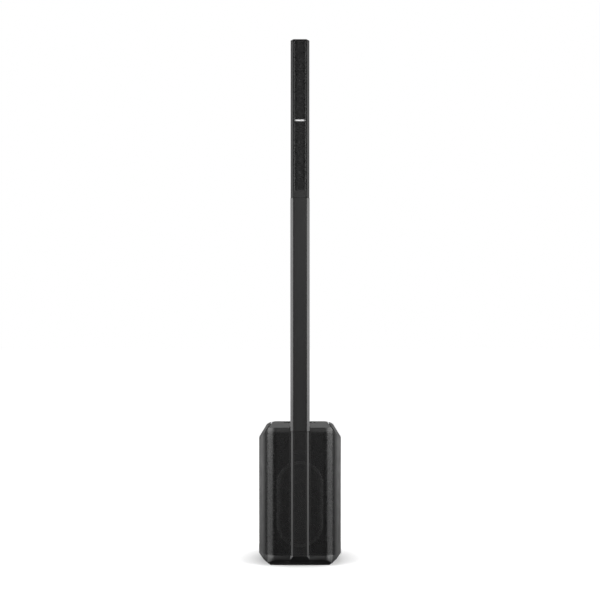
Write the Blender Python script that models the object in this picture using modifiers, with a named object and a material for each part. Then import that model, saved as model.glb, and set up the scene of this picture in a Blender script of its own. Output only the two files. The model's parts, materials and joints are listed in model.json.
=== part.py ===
"""Column PA system: a powered sub base, an extension tube and a line array that stack on top of it.

Metres, +Z up. X runs across the object, the front faces -Y, and the origin is the middle of the
object's box on the floor. Three bodies stack: the base, the extension that plugs into it, and the
array that plugs into the extension. The control panel is on the back, and faces +Y.
"""

import math

import bmesh
import bpy
from mathutils import Matrix, Vector

# ---- Driving dimensions of the whole object ----
TOTAL_HEIGHT = 2.001
BASE_HALF_WIDTH = 0.159
BASE_HALF_DEPTH = 0.220
BASE_TOP = 0.525
FRONT = -BASE_HALF_DEPTH  # the face of the column and of the spine below it
BACK = BASE_HALF_DEPTH

# ---- Gaps and walls ----
FIT_GAP = 0.0003  # between pieces that touch
RUNNING_GAP = 0.0005  # between pieces that slide on each other
SEAM_GAP = 0.0026  # the shadow line between a side cheek and its neighbours
CHEEK_WALL = 0.0035
PAN_WALL = 0.0040
GRILLE_WALL = 0.0015
ARC_STEP = math.radians(13)  # the turn of one segment of a round corner

# ---- Column section ----
COLUMN_HALF = 0.0367
COLUMN_FACE_HALF = 0.0265
COLUMN_BEVEL = 0.0090  # how far the front bevels go back
COLUMN_BACK = -0.1540
COLUMN_BACK_BEVEL = 0.0120
COLUMN_CROWN = 0.0010  # how far the front face bulges
COLUMN_WALL = 0.0030

# ---- Heights on the column ----
EXTENSION_LOW = 0.5108
EXTENSION_HIGH = 1.3980
ARRAY_LOW = EXTENSION_HIGH + RUNNING_GAP
ARRAY_BLOCK_HIGH = 1.4262
LID_LOW = 1.9925
ARRAY_GRILLE_LOW = ARRAY_BLOCK_HIGH + FIT_GAP
ARRAY_GRILLE_HIGH = LID_LOW - FIT_GAP

# ---- Plug and socket between the stacked pieces ----
PLUG_HALF_X = 0.0235
PLUG_HALF_Y = 0.0165
PLUG_Y = -0.1870
PLUG_LENGTH = 0.0700
PLUG_CORNER = 0.0050
PLUG_TAPER = 0.0012  # of the plug's nose, on each side
PLUG_NOSE = 0.0060
PLUG_FILLING_HIGH = 0.5400  # the block that fills the extension's lower end
SOCKET_GROW = 0.0008  # the plug's play on each side
SOCKET_WALL = 0.0025
SOCKET_FLOOR = 0.0035
BASE_COLLAR_HIGH = EXTENSION_LOW - RUNNING_GAP
BASE_COLLAR_HEIGHT = 0.0065

# ---- Base, by height ----
PAN_LOW = 0.0030
PAN_HIGH = 0.0384
GRILLE_LOW = 0.0392
GRILLE_HIGH = 0.5092
CAP_LOW = 0.5099
CAP_BACK_LOW = 0.4742  # the cap reaches further down behind the handle
HOUSING_HIGH = 0.4735
SPINE_BASE = FRONT + COLUMN_BEVEL  # the front plane beside the spine

# ---- Sloping faces of the base ----
SLOPE_RISE = 1.64  # height over width of the slopes between the top and the sides
SLOPE_EDGE = (  # where they leave the top face, on the right, from front to back
    (0.1225, -0.1850),
    (0.1296, 0.0000),
    (0.1216, 0.0860),
    (0.1117, 0.1340),
    (0.0978, 0.1650),
)
UNDER_SLOPE = 0.62  # height over width of the slopes under the sides
UNDER_EDGE = (0.1150, 0.0035)  # a point (x, z) on the right one
UNDER_BEVEL_HIGH = 0.0220  # where the front and back faces turn in to the underside
SPINE_FOOT_HIGH = 0.0370  # where the spine's face turns in above the underside
SPINE_FOOT_RISE = 1.6
TOP_BACK_EDGE = 0.1650  # where the slope behind the lid leaves the top face
TOP_BACK_RISE = 0.85

# ---- Side seams: a vertical plane through a front and a back point, which leans in across the lid ----
SEAM_FRONT = (0.1305, -0.1850)
SEAM_BACK = (0.1130, 0.1650)
LEAN_FRONT = (0.1208, -0.1850)
LEAN_BACK = (0.1120, 0.0970)

# ---- Hand recess and grip in the lid ----
HANDLE_MIDDLE_Y = 0.0850
HANDLE_HALF_X = 0.0620
HANDLE_HALF_Y = 0.0400
HANDLE_FLOOR = 0.4770
HANDLE_CORNER = 0.0180
TRAY_WALL = 0.0030
GRIP_HALF_Y = 0.0135
GRIP_LOW = 0.5000
GRIP_HIGH = 0.5232
GRIP_CORNER = 0.0070
GRIP_END_X = 0.0500  # where the grip starts to slim down
GRIP_END_SHRINK = 0.0010

# ---- Bass port ----
PORT_HALF_X = 0.0620
PORT_LOW_Z = 0.0560
PORT_HIGH_Z = 0.0840
PORT_MIDDLE_Z = (PORT_LOW_Z + PORT_HIGH_Z) / 2
PORT_HALF_Z = (PORT_HIGH_Z - PORT_LOW_Z) / 2
PORT_CORNER = 0.0090
PORT_WALL = 0.0030
PORT_INNER_END = 0.1200
PORT_FLARE_START = 0.2120
PORT_FLARE = 0.0024

# ---- Feet ----
FOOT_RADIUS = 0.0150
FOOT_EDGE = 0.0010
FOOT_X = 0.0850
FOOT_Y = (("front", -0.1500), ("rear", 0.1650))

# ---- Woofer ----
WOOFER_Z = 0.2320
WOOFER_STRAIGHT = 0.0770  # half the straight stretch of the racetrack
WOOFER_STEPS = 9  # segments of each half circle
BAFFLE_FRONT = -0.1880
BAFFLE_BACK = -0.1760
BAFFLE_HALF_X = 0.1190
BAFFLE_LOW = 0.0450
BAFFLE_HIGH = 0.5015
BAFFLE_NOTCH_HALF_X = 0.0315  # around the column's socket
BAFFLE_NOTCH_LOW = 0.4235
BASKET_RADIUS = 0.0890
BASKET_BACK = -0.1255
ROLL_INNER = 0.0658  # the surround's rolled edge, from the cone's rim to the basket
ROLL_OUTER = 0.0762
ROLL_FRONT = -0.1893
ROLL_BACK = -0.1883
CONE_RADIUS = 0.0655
COIL_RADIUS = 0.0190
COIL_BACK = -0.1130

# ---- Array ----
ARRAY_SHRINK = 0.0010  # the array is this much slimmer on each side than the extension
ARRAY_OPENING_HALF = 0.0258
ARRAY_WALL = 0.0028
ARRAY_GRILLE_HALF = 0.0253
ARRAY_GRILLE_FRONT = FRONT + 0.0008
ARRAY_GRILLE_DROP = 0.0042  # how far the grille's long edges curl back
ARRAY_GRILLE_WALL = 0.0012
BADGE_HALF_X = 0.0195
BADGE_HALF_Z = 0.0042
BADGE_Z = 1.6930

# ---- Array drivers ----
DRIVER_COUNT = 8
DRIVER_TOP_Z = 1.9045
DRIVER_PITCH = 0.0586
DRIVER_TURN = math.radians(22)  # drivers face left and right in turn
DRIVER_Y = -0.1985
DRIVER_RADIUS = 0.0255

# ---- Control panel on the back ----
PANEL_OUT = 0.2017  # the panel's outer face
PANEL_THICK = 0.0030
PANEL_HALF_X = 0.0905
PANEL_LOW_Z = 0.1050
PANEL_HIGH_Z = 0.4520
PANEL_SPLIT_Z = 0.2450  # between the upper plate, with the controls, and the lower one
PANEL_CORNER = 0.0120
RECESS_HALF_X = 0.0870
RECESS_LOW_Z = 0.1085
RECESS_HIGH_Z = 0.4485
RECESS_WALL = 0.0030
CHANNEL_X = (0.0560, 0.0, -0.0560)
KNOB_Z = 0.4150
EDIT_Z = 0.3830
MUTE_Z = 0.3660
BUTTON_STANDS_OUT = 0.0028  # from the panel's face
BUTTON_TRAVEL = 0.0012
SKIRT_FRONT = PANEL_OUT - PANEL_THICK - RUNNING_GAP
SKIRT_BACK = SKIRT_FRONT - 0.0018
KNOB_SHAFT_BACK = 0.1860
KNOB_HEIGHT = 0.0150
KNOB_RADIUS = 0.0128
SHAFT_RADIUS = 0.0030
SHAFT_HOLE = 0.0036
BUTTON_HALF_X = 0.0066
BUTTON_HALF_Z = 0.0034
BUTTON_CORNER = 0.0026
STANDBY_X = -0.0480
STANDBY_Z = 0.1520
STANDBY_RADIUS = 0.0080
BUTTON_PLAY = 0.0005  # between a button and its hole
SKIRT_GROW = 0.0012  # how much wider a button is behind the panel
CROWN_SHRINK = 0.0006
FUNCTION_Z = 0.2720  # the tone and pairing buttons

# ---- Connectors on the panel ----
FLANGE_BACK = PANEL_OUT + FIT_GAP
FLANGE_FRONT = PANEL_OUT + 0.0018
BARREL_BACK = 0.1780
HOLE_GROW = 0.0004
COMBO_X = CHANNEL_X[:2]
COMBO_Z = 0.3180
XLR_HALF_X = 0.0130
XLR_HALF_Z = 0.0155
XLR_BARREL = 0.0118
JACK_BORE = 0.0034
JACK_DEPTH = 0.1830
LINE_Z = 0.3300
LINE_BARREL = 0.0065
LINE_FLANGE = (0.0092, 0.0215)  # shared by the line jack and the small stereo jack under it
AUX_Z = 0.3050
AUX_BARREL = 0.0045
AUX_BORE = 0.0019
AUX_DEPTH = 0.1880
OUTPUT_Z = 0.2180
OUTPUT_PIN_CIRCLE = 0.0050
DATA_X = 0.0520
DATA_HALF = (0.0074, 0.0068)
USB_X = -0.0520
USB_HALF = (0.0060, 0.0056)
INLET_X = 0.0300
INLET_Z = 0.1520
INLET_HALF = (0.0140, 0.0100)

# ---- Electronics behind the panel ----
BOARD_Y = 0.1660
BOARD_THICK = 0.0016
BOARD_HALF_X = 0.0840
BOARD_LOW = 0.1180
BOARD_HIGH = 0.4460


# ---- Materials ----
def material(name, colour, roughness, metallic=0.0):
    """A Principled material."""
    made = bpy.data.materials.new(name)
    made.use_nodes = True
    shader = made.node_tree.nodes["Principled BSDF"]
    shader.inputs["Base Color"].default_value = (*colour, 1)
    shader.inputs["Roughness"].default_value = roughness
    shader.inputs["Metallic"].default_value = metallic
    return made


def make_materials():
    return {
        "shell": material("shell_plastic", (0.035, 0.036, 0.038), 0.42),
        "cap": material("cap_plastic", (0.060, 0.061, 0.063), 0.50),
        "grille": material("grille_steel", (0.022, 0.022, 0.024), 0.38, 0.6),
        "column": material("column_plastic", (0.045, 0.046, 0.048), 0.45),
        "panel": material("panel_metal", (0.030, 0.030, 0.032), 0.55, 0.3),
        "inner": material("inner_plastic", (0.020, 0.020, 0.021), 0.70),
        "cone": material("cone_paper", (0.018, 0.018, 0.019), 0.80),
        "surround": material("surround_rubber", (0.012, 0.012, 0.012), 0.55),
        "magnet": material("magnet_iron", (0.20, 0.20, 0.21), 0.45, 0.9),
        "steel": material("stamped_steel", (0.10, 0.10, 0.105), 0.45, 0.9),
        "board": material("circuit_board", (0.010, 0.090, 0.035), 0.50),
        "aluminium": material("heat_sink_aluminium", (0.55, 0.56, 0.58), 0.35, 1.0),
        "connector": material("connector_plastic", (0.015, 0.015, 0.016), 0.45),
        "control": material("control_rubber", (0.055, 0.056, 0.058), 0.65),
        "foot": material("foot_rubber", (0.015, 0.015, 0.015), 0.85),
        "cable": material("cable_jacket", (0.012, 0.012, 0.012), 0.60),
        "badge": material("badge_metal", (0.72, 0.73, 0.75), 0.28, 1.0),
    }


# ---- Flat outlines ----
def rounded(corners):
    """A closed outline from (x, y, radius) corners, each rounded by an arc."""
    outline = []
    for index, (x, y, radius) in enumerate(corners):
        corner = Vector((x, y))
        before = Vector(corners[index - 1][:2]) - corner
        after = Vector(corners[(index + 1) % len(corners)][:2]) - corner
        before.normalize()
        after.normalize()
        half = before.angle(after) / 2
        turn = math.pi - 2 * half
        if radius <= 0 or turn < 1e-4:
            outline.append((x, y))
            continue
        centre = corner + (before + after).normalized() * radius / math.sin(half)
        start = corner + before * radius / math.tan(half) - centre
        end = corner + after * radius / math.tan(half) - centre
        signed = math.copysign(turn, start.x * end.y - start.y * end.x)
        steps = max(1, math.ceil(turn / ARC_STEP))
        for step in range(steps + 1):
            point = centre + Matrix.Rotation(signed * step / steps, 2) @ start
            outline.append((point.x, point.y))
    return outline


def mirrored(right):
    """A closed outline from its right half, which runs from front to back."""
    return right + [(-x, *rest) for x, *rest in reversed(right) if x > 1e-6]


def inset(outline, distance):
    """The outline moved inwards by a distance. Outlines run anticlockwise."""
    moved = []
    for index, (x, y) in enumerate(outline):
        here = Vector((x, y))
        into = (here - Vector(outline[index - 1])).normalized()
        out = (Vector(outline[(index + 1) % len(outline)]) - here).normalized()
        normals = [Vector((-side.y, side.x)) for side in (into, out)]
        middle = (normals[0] + normals[1]).normalized()
        point = here + middle * distance / middle.dot(normals[0])
        moved.append((point.x, point.y))
    return moved


def circle(radius, steps=16):
    turns = [2 * math.pi * (step + 0.5) / steps for step in range(steps)]
    return [(radius * math.cos(turn), radius * math.sin(turn)) for turn in turns]


def rectangle(half_x, half_y, radius, steps=4):
    """A rectangle with round corners of as many points as steps, so that loops alike can be lofted."""
    outline = []
    for corner, (sign_x, sign_y) in enumerate(((1, 1), (-1, 1), (-1, -1), (1, -1))):
        for step in range(steps):
            turn = math.pi / 2 * (corner + step / max(1, steps - 1))
            outline.append(
                (
                    sign_x * (half_x - radius) + radius * math.cos(turn),
                    sign_y * (half_y - radius) + radius * math.sin(turn),
                )
            )
    return outline


def shifted(outline, x, y):
    return [(px + x, py + y) for px, py in outline]


def plan_outline():
    """The base seen from above, without the spine: narrow at the front, widest past the middle."""
    right = [
        (0.1167, SPINE_BASE, 0.045),
        (0.1400, -0.1610, 0.030),
        (BASE_HALF_WIDTH, -0.0650, 0.080),
        (BASE_HALF_WIDTH, 0.0400, 0.120),
        (0.1430, 0.1650, 0.045),
        (0.1120, BACK, 0.030),
    ]
    return rounded(mirrored(right))


def crowned_face(half, front, crown, steps=4):
    """Points across a face that bulges to the front by crown in its middle, from x = 0 to x = half."""
    shares = [step / steps for step in range(steps + 1)]
    return [(half * share, front + crown * share * share) for share in shares]


def column_outline(shrink=0.0):
    """The column's section, by its right half: crowned face, bevel, side, back bevel."""
    half = COLUMN_HALF - shrink
    bevel_end = FRONT + COLUMN_BEVEL
    face_end = COLUMN_FACE_HALF - shrink * 0.4
    right = crowned_face(face_end, FRONT + shrink * 0.4, COLUMN_CROWN)
    right += [
        (half, bevel_end),
        (half, COLUMN_BACK - COLUMN_BACK_BEVEL - shrink),
        (half - COLUMN_BACK_BEVEL, COLUMN_BACK - shrink),
    ]
    return mirrored(right)


# ---- Making objects ----
def collection(name):
    made = bpy.data.collections.new(name)
    bpy.context.scene.collection.children.link(made)
    return made


def clear_scene():
    for obj in list(bpy.data.objects):
        bpy.data.objects.remove(obj)


def face_outwards(bm):
    bmesh.ops.recalc_face_normals(bm, faces=bm.faces)
    if bm.calc_volume(signed=True) < 0:
        bmesh.ops.reverse_faces(bm, faces=bm.faces)


def part(name, bm, look):
    """A named object of the assembly from a bmesh, with its material and smooth round faces."""
    mesh = bpy.data.meshes.new(name)
    face_outwards(bm)
    bm.to_mesh(mesh)
    bm.free()
    mesh.materials.append(LOOKS[look])
    mesh.shade_smooth()
    mesh.set_sharp_from_angle(angle=math.radians(32))
    obj = bpy.data.objects.new(name, mesh)
    PARTS.objects.link(obj)
    return obj


def cutter(name, bm):
    """A helper solid for a Boolean, which isn't part of the object."""
    mesh = bpy.data.meshes.new(name)
    face_outwards(bm)
    bm.to_mesh(mesh)
    bm.free()
    obj = bpy.data.objects.new(name, mesh)
    obj.hide_render = True
    obj.display_type = "WIRE"
    CUTTERS.objects.link(obj)
    return obj


def combine(obj, other, operation):
    modifier = obj.modifiers.new(f"{operation.lower()} {other.name}", "BOOLEAN")
    modifier.operation = operation
    modifier.solver = "EXACT"
    modifier.object = other


def prism(loops, low, high, upright=False):
    """A bmesh between two planes, from closed outlines: the first is the outside, the others are holes.

    It stands on XY between two heights, or with upright, on XZ between two depths along Y.
    """
    curve = bpy.data.curves.new("outline", "CURVE")
    curve.dimensions = "2D"
    curve.fill_mode = "BOTH"
    curve.extrude = (high - low) / 2
    for loop in loops:
        spline = curve.splines.new("POLY")
        spline.points.add(len(loop) - 1)
        for point, (x, y) in zip(spline.points, loop):
            point.co = (x, y, 0, 1)
        spline.use_cyclic_u = True
    guide = bpy.data.objects.new("outline", curve)
    bpy.context.scene.collection.objects.link(guide)
    graph = bpy.context.evaluated_depsgraph_get()
    mesh = bpy.data.meshes.new_from_object(guide.evaluated_get(graph))
    bpy.data.objects.remove(guide)
    bm = bmesh.new()
    bm.from_mesh(mesh)
    bpy.data.meshes.remove(mesh)
    bmesh.ops.remove_doubles(bm, verts=bm.verts, dist=1e-6)
    middle = (low + high) / 2
    if upright:
        bm.transform(Matrix.Translation((0, middle, 0)) @ Matrix.Rotation(math.pi / 2, 4, "X"))
    else:
        bm.transform(Matrix.Translation((0, 0, middle)))
    return bm


def box(low, high):
    """A bmesh box between two corners."""
    bm = bmesh.new()
    bmesh.ops.create_cube(bm, size=1)
    size = [b - a for a, b in zip(low, high)]
    middle = [(a + b) / 2 for a, b in zip(low, high)]
    bm.transform(Matrix.Translation(middle) @ Matrix.Diagonal((*size, 1)))
    return bm


def join(singles):
    """One bmesh of separate solids."""
    joined = bmesh.new()
    for single in singles:
        mesh = bpy.data.meshes.new("single")
        single.to_mesh(mesh)
        single.free()
        joined.from_mesh(mesh)
        bpy.data.meshes.remove(mesh)
    return joined


def loft(rings, closed=False):
    """A bmesh through rings of as many points each, with its ends filled, or joined in a ring of rings."""
    bm = bmesh.new()
    rows = [[bm.verts.new(point) for point in ring] for ring in rings]
    pairs = list(zip(rows, rows[1:]))
    if closed:
        pairs.append((rows[-1], rows[0]))
    else:
        bm.faces.new(rows[0])
        bm.faces.new(rows[-1])
    for near, far in pairs:
        for index in range(len(near)):
            after = (index + 1) % len(near)
            bm.faces.new((near[index], near[after], far[after], far[index]))
    return bm


def turned(profile, steps, axis_matrix=None):
    """A bmesh turned about Z with a Screw modifier, from a profile of (radius, height) points."""
    bm = bmesh.new()
    verts = [bm.verts.new((radius, 0, height)) for radius, height in profile]
    for one, other in zip(verts, verts[1:]):
        bm.edges.new((one, other))
    mesh = bpy.data.meshes.new("profile")
    bm.to_mesh(mesh)
    bm.free()
    guide = bpy.data.objects.new("profile", mesh)
    bpy.context.scene.collection.objects.link(guide)
    screw = guide.modifiers.new("turn", "SCREW")
    screw.axis = "Z"
    screw.steps = steps
    screw.render_steps = steps
    screw.use_merge_vertices = True
    screw.merge_threshold = 0.00001
    graph = bpy.context.evaluated_depsgraph_get()
    solid = bpy.data.meshes.new_from_object(guide.evaluated_get(graph))
    bpy.data.objects.remove(guide)
    made = bmesh.new()
    made.from_mesh(solid)
    bpy.data.meshes.remove(solid)
    bmesh.ops.remove_doubles(made, verts=made.verts, dist=1e-6)
    if axis_matrix is not None:
        made.transform(axis_matrix)
    return made


def cut_away(bm, point, normal):
    """Cuts off what lies beyond a plane on its normal's side, and closes the cut."""
    geometry = bm.verts[:] + bm.edges[:] + bm.faces[:]
    found = bmesh.ops.bisect_plane(
        bm, geom=geometry, dist=1e-6, plane_co=point, plane_no=normal, clear_outer=True
    )
    edges = [item for item in found["geom_cut"] if isinstance(item, bmesh.types.BMEdge)]
    bmesh.ops.holes_fill(bm, edges=edges)
    return bm


def bevel(obj, width, segments=1, angle=math.radians(50)):
    modifier = obj.modifiers.new("bevel", "BEVEL")
    modifier.width = width
    modifier.segments = segments
    modifier.limit_method = "ANGLE"
    modifier.angle_limit = angle


# ---- The base's outer form, and the shells cut from it ----
def seam_plane(side, offset):
    """A point and an outward normal of a side seam, moved outwards by an offset."""
    along = Vector(SEAM_BACK) - Vector(SEAM_FRONT)
    normal = Vector((side * along.y, -along.x, 0)).normalized()
    return Vector((side * SEAM_FRONT[0], SEAM_FRONT[1], 0)) + normal * offset, normal


def seam_lean(side, offset):
    """The plane on which a side seam leans in across the lid, moved outwards by an offset."""
    foot = Vector((side * SEAM_FRONT[0], SEAM_FRONT[1], CAP_LOW))
    front = Vector((side * LEAN_FRONT[0], LEAN_FRONT[1], BASE_TOP))
    back = Vector((side * LEAN_BACK[0], LEAN_BACK[1], BASE_TOP))
    normal = (foot - front).cross(back - front).normalized()
    if normal.z < 0:
        normal.negate()
    return front + normal * offset, normal


def side_slopes(side):
    """(point, outward normal) of the slopes between the top and one side, from front to back."""
    for (x, y), (next_x, next_y) in zip(SLOPE_EDGE, SLOPE_EDGE[1:]):
        turn = (x - next_x) / (next_y - y)
        yield (side * x, y, BASE_TOP), Vector((side * SLOPE_RISE, SLOPE_RISE * turn, 1))


def base_planes():
    """(point, outward normal) of the sloping faces of the base, in the order they are cut."""
    planes = []
    for side in (1, -1):
        planes += side_slopes(side)
        planes.append(((side * UNDER_EDGE[0], 0, UNDER_EDGE[1]), Vector((side * UNDER_SLOPE, 0, -1))))
    planes.append(((0, SPINE_BASE, UNDER_BEVEL_HIGH), Vector((0, -1, -1))))
    planes.append(((0, BACK, UNDER_BEVEL_HIGH), Vector((0, 1, -1))))
    planes.append(((0, TOP_BACK_EDGE, BASE_TOP), Vector((0, TOP_BACK_RISE, 1))))
    return [(point, normal.normalized()) for point, normal in planes]


def base_form(depth):
    """The base as one solid, with every face moved inwards by depth."""
    bm = prism([inset(plan_outline(), depth)], PAN_LOW + depth, BASE_TOP - depth)
    for point, normal in base_planes():
        cut_away(bm, Vector(point) - normal * depth, normal)
    return bm


def base_shell(name, look, wall, cuts):
    """A thin piece of the base: its outer form cut by planes, less the form inside it."""
    outer = base_form(0)
    for point, normal in cuts:
        cut_away(outer, point, normal)
    obj = part(name, outer, look)
    combine(obj, cutter(name + "_inside", base_form(wall)), "DIFFERENCE")
    return obj


def between_seams():
    return [seam_plane(side, -SEAM_GAP / 2) for side in (1, -1)]


def build_cheeks():
    """The side shells, which reach in over the lid as far as the leaning part of the seam."""
    for name, side in (("cheek_right", 1), ("cheek_left", -1)):
        well_inside = (side * (LEAN_BACK[0] - 0.03), 0, 0)
        cuts = [(well_inside, (-side, 0, 0)), ((0, 0, GRILLE_LOW), (0, 0, -1))]
        cheek = base_shell(name, "shell", CHEEK_WALL, cuts)
        middle = box((-0.3, -0.3, -0.1), (0.3, 0.3, 0.6))
        for point, normal in (seam_plane(side, SEAM_GAP / 2), seam_lean(side, SEAM_GAP / 2)):
            cut_away(middle, point, normal)
        combine(cheek, cutter(name + "_middle", middle), "DIFFERENCE")


def handle_loop(grow):
    loop = rectangle(HANDLE_HALF_X + grow, HANDLE_HALF_Y + grow, HANDLE_CORNER + grow, 6)
    return shifted(loop, 0, HANDLE_MIDDLE_Y)


def build_top_cap():
    """The lid of the base: notch for the column at the front, moulded hand recess at the back."""
    cuts = between_seams() + [seam_lean(side, -SEAM_GAP / 2) for side in (1, -1)]
    cuts.append(((0, 0, CAP_BACK_LOW), (0, 0, -1)))
    cap = base_shell("top_cap", "cap", CHEEK_WALL, cuts)
    lower_front = box((-0.2, -0.3, 0.4), (0.2, 0.11, CAP_LOW))
    combine(cap, cutter("cap_front_clearance", lower_front), "DIFFERENCE")
    notch = mirrored([(0.0388, -0.30), (0.0388, -0.1580), (0.0310, -0.1512)])
    combine(cap, cutter("cap_column_notch", prism([notch], 0.50, 0.54)), "DIFFERENCE")
    tray = prism([handle_loop(TRAY_WALL)], HANDLE_FLOOR - TRAY_WALL, BASE_TOP - 0.0010)
    combine(cap, cutter("cap_tray", tray), "UNION")
    recess = prism([handle_loop(0)], HANDLE_FLOOR, 0.54)
    combine(cap, cutter("cap_hand_recess", recess), "DIFFERENCE")


def build_handle_bar():
    """The grip across the hand recess, with room for fingers before, behind and under it."""
    end = HANDLE_HALF_X - RUNNING_GAP
    middle = (GRIP_LOW + GRIP_HIGH) / 2
    rings = []
    for x, shrink in ((-end, GRIP_END_SHRINK), (-GRIP_END_X, 0), (GRIP_END_X, 0), (end, GRIP_END_SHRINK)):
        loop = rectangle(GRIP_HALF_Y - shrink, (GRIP_HIGH - GRIP_LOW) / 2 - shrink, GRIP_CORNER)
        rings.append([(x, HANDLE_MIDDLE_Y + y, middle + z) for y, z in loop])
    part("handle_bar", loft(rings), "foot")


def build_bottom_pan():
    """The tray under the base, with the foot of the spine moulded in its front edge."""
    pan = part("bottom_pan", base_form(0), "shell")
    run = (COLUMN_HALF - COLUMN_FACE_HALF) / COLUMN_BEVEL
    deep = 0.0050  # the spine's bevels go on into the tray's front
    spine_right = crowned_face(COLUMN_FACE_HALF, FRONT, COLUMN_CROWN)[:-1]
    spine_right += [(COLUMN_FACE_HALF, FRONT), (COLUMN_HALF + deep * run, SPINE_BASE + deep)]
    spine_right += [(0.0300, SPINE_BASE + 0.0200)]
    spine = prism([mirrored(spine_right)], 0.0070, PAN_HIGH + 0.0200)
    cut_away(spine, (0, FRONT, SPINE_FOOT_HIGH), (0, -SPINE_FOOT_RISE, -1))
    cut_away(spine, (0, SPINE_BASE - 0.0020, UNDER_BEVEL_HIGH), (0, -1, -1))
    combine(pan, cutter("pan_spine_foot", spine), "UNION")
    combine(pan, cutter("pan_inside", base_form(PAN_WALL)), "DIFFERENCE")
    above = box((-0.3, -0.3, PAN_HIGH), (0.3, 0.3, 0.6))
    combine(pan, cutter("pan_rim", above), "DIFFERENCE")


def grille_path(depth):
    """The right half of the base grille's line, from the spine's middle to the seam, at a depth inside."""
    plan = inset(plan_outline(), depth)
    point, normal = seam_plane(1, -SEAM_GAP / 2)
    corner = [(x, y) for x, y in plan if x > 0.06 and y < -0.1]
    kept = [(x, y) for x, y in corner if (Vector((x, y, 0)) - point).dot(normal) < 0]
    beyond = next(p for p in corner[len(kept):])
    last, first = Vector((*beyond, 0)), Vector((*kept[-1], 0))
    share = (point - first).dot(normal) / (last - first).dot(normal)
    edge = first.lerp(last, share)
    spine = crowned_face(COLUMN_FACE_HALF - depth * 0.4, FRONT + depth, COLUMN_CROWN)
    spine += [(COLUMN_HALF - depth * 0.4, SPINE_BASE + depth)]
    right = spine + kept + [(edge.x, edge.y)]
    return right


def build_front_grille():
    """The steel grille that wraps the front of the base, with the raised spine in its middle."""
    outer, inner = grille_path(0), grille_path(GRILLE_WALL)
    left = [(-x, y) for x, y in reversed(outer) if x > 1e-6]
    inner_left = [(-x, y) for x, y in inner if x > 1e-6]
    loop = left + outer + list(reversed(inner)) + inner_left
    part("front_grille", prism([loop], GRILLE_LOW, GRILLE_HIGH), "grille")


def port_loop(grow):
    loop = rectangle(PORT_HALF_X + grow, PORT_HALF_Z + grow, PORT_CORNER + grow, 5)
    return shifted(loop, 0, PORT_MIDDLE_Z)


def recess_loop(grow):
    middle = (RECESS_LOW_Z + RECESS_HIGH_Z) / 2
    half = (RECESS_HIGH_Z - RECESS_LOW_Z) / 2
    return shifted(rectangle(RECESS_HALF_X + grow, half + grow, 0.010 + grow), 0, middle)


def build_rear_housing():
    """The back of the base, with the recess that holds the control panel and the port's hole."""
    cuts = between_seams() + [
        ((0, 0.15, 0), (0, -1, 0)),
        ((0, 0, GRILLE_LOW), (0, 0, -1)),
        ((0, 0, HOUSING_HIGH), (0, 0, 1)),
    ]
    housing = base_shell("rear_housing", "shell", CHEEK_WALL, cuts)
    frame = prism([recess_loop(RECESS_WALL)], PANEL_OUT + FIT_GAP, BACK - 0.0010, True)
    combine(housing, cutter("housing_frame", frame), "UNION")
    opening = prism([recess_loop(0)], 0.18, 0.24, True)
    combine(housing, cutter("housing_recess", opening), "DIFFERENCE")
    port = prism([port_loop(PORT_WALL + RUNNING_GAP)], 0.18, 0.24, True)
    combine(housing, cutter("housing_port_hole", port), "DIFFERENCE")


def build_port_tube():
    """The bass reflex port, open at both ends, flared where it leaves the back."""
    outer, inner, flare = port_loop(PORT_WALL), port_loop(0), port_loop(PORT_FLARE)
    mouth = BACK - RUNNING_GAP
    stages = (
        (inner, PORT_INNER_END),
        (inner, PORT_FLARE_START),
        (flare, mouth),
        (outer, mouth),
        (outer, PORT_INNER_END),
    )
    rings = [[(x, y, z) for x, z in loop] for loop, y in stages]
    part("port_tube", loft(rings, closed=True), "inner")


def build_feet():
    top = PAN_LOW - FIT_GAP
    profile = [(0, top), (FOOT_RADIUS, top), (FOOT_RADIUS, FOOT_EDGE), (FOOT_RADIUS - FOOT_EDGE, 0), (0, 0)]
    for end, y in FOOT_Y:
        for hand, x in (("left", -FOOT_X), ("right", FOOT_X)):
            place = Matrix.Translation((x, y, 0))
            part(f"foot_{end}_{hand}", turned(profile, 16, place), "foot")


# ---- Woofer ----
def racetrack(radius, straight, y):
    """A racetrack on end in the XZ plane at a depth: two half circles joined by straight sides."""
    ring = []
    for end in (1, -1):
        for step in range(WOOFER_STEPS + 1):
            turn = math.pi * step / WOOFER_STEPS + (0 if end > 0 else math.pi)
            ring.append(
                (radius * math.cos(turn), y, WOOFER_Z + end * straight + radius * math.sin(turn))
            )
    return ring


def build_front_baffle():
    """The board behind the grille that carries the woofer, notched for the column's socket."""
    notch = [(BAFFLE_NOTCH_HALF_X, BAFFLE_HIGH), (BAFFLE_NOTCH_HALF_X, BAFFLE_NOTCH_LOW)]
    right = [(BAFFLE_HALF_X, BAFFLE_LOW), (BAFFLE_HALF_X, BAFFLE_HIGH)] + notch
    outline = right + [(-x, z) for x, z in reversed(right)]
    hole = [(x, z) for x, _, z in racetrack((ROLL_OUTER + BASKET_RADIUS) / 2 - 0.0020, WOOFER_STRAIGHT, 0)]
    part("front_baffle", prism([outline, hole], BAFFLE_FRONT, BAFFLE_BACK, True), "inner")


def half_roll(inner, outer, base, rise, steps=6):
    """The (radius, depth) points of a rolled edge between its two flat ends."""
    middle, half = (inner + outer) / 2, (outer - inner) / 2
    turns = [math.pi * step / steps for step in range(1, steps)]
    return [(middle - half * math.cos(turn), base - rise * math.sin(turn)) for turn in turns]


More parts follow.
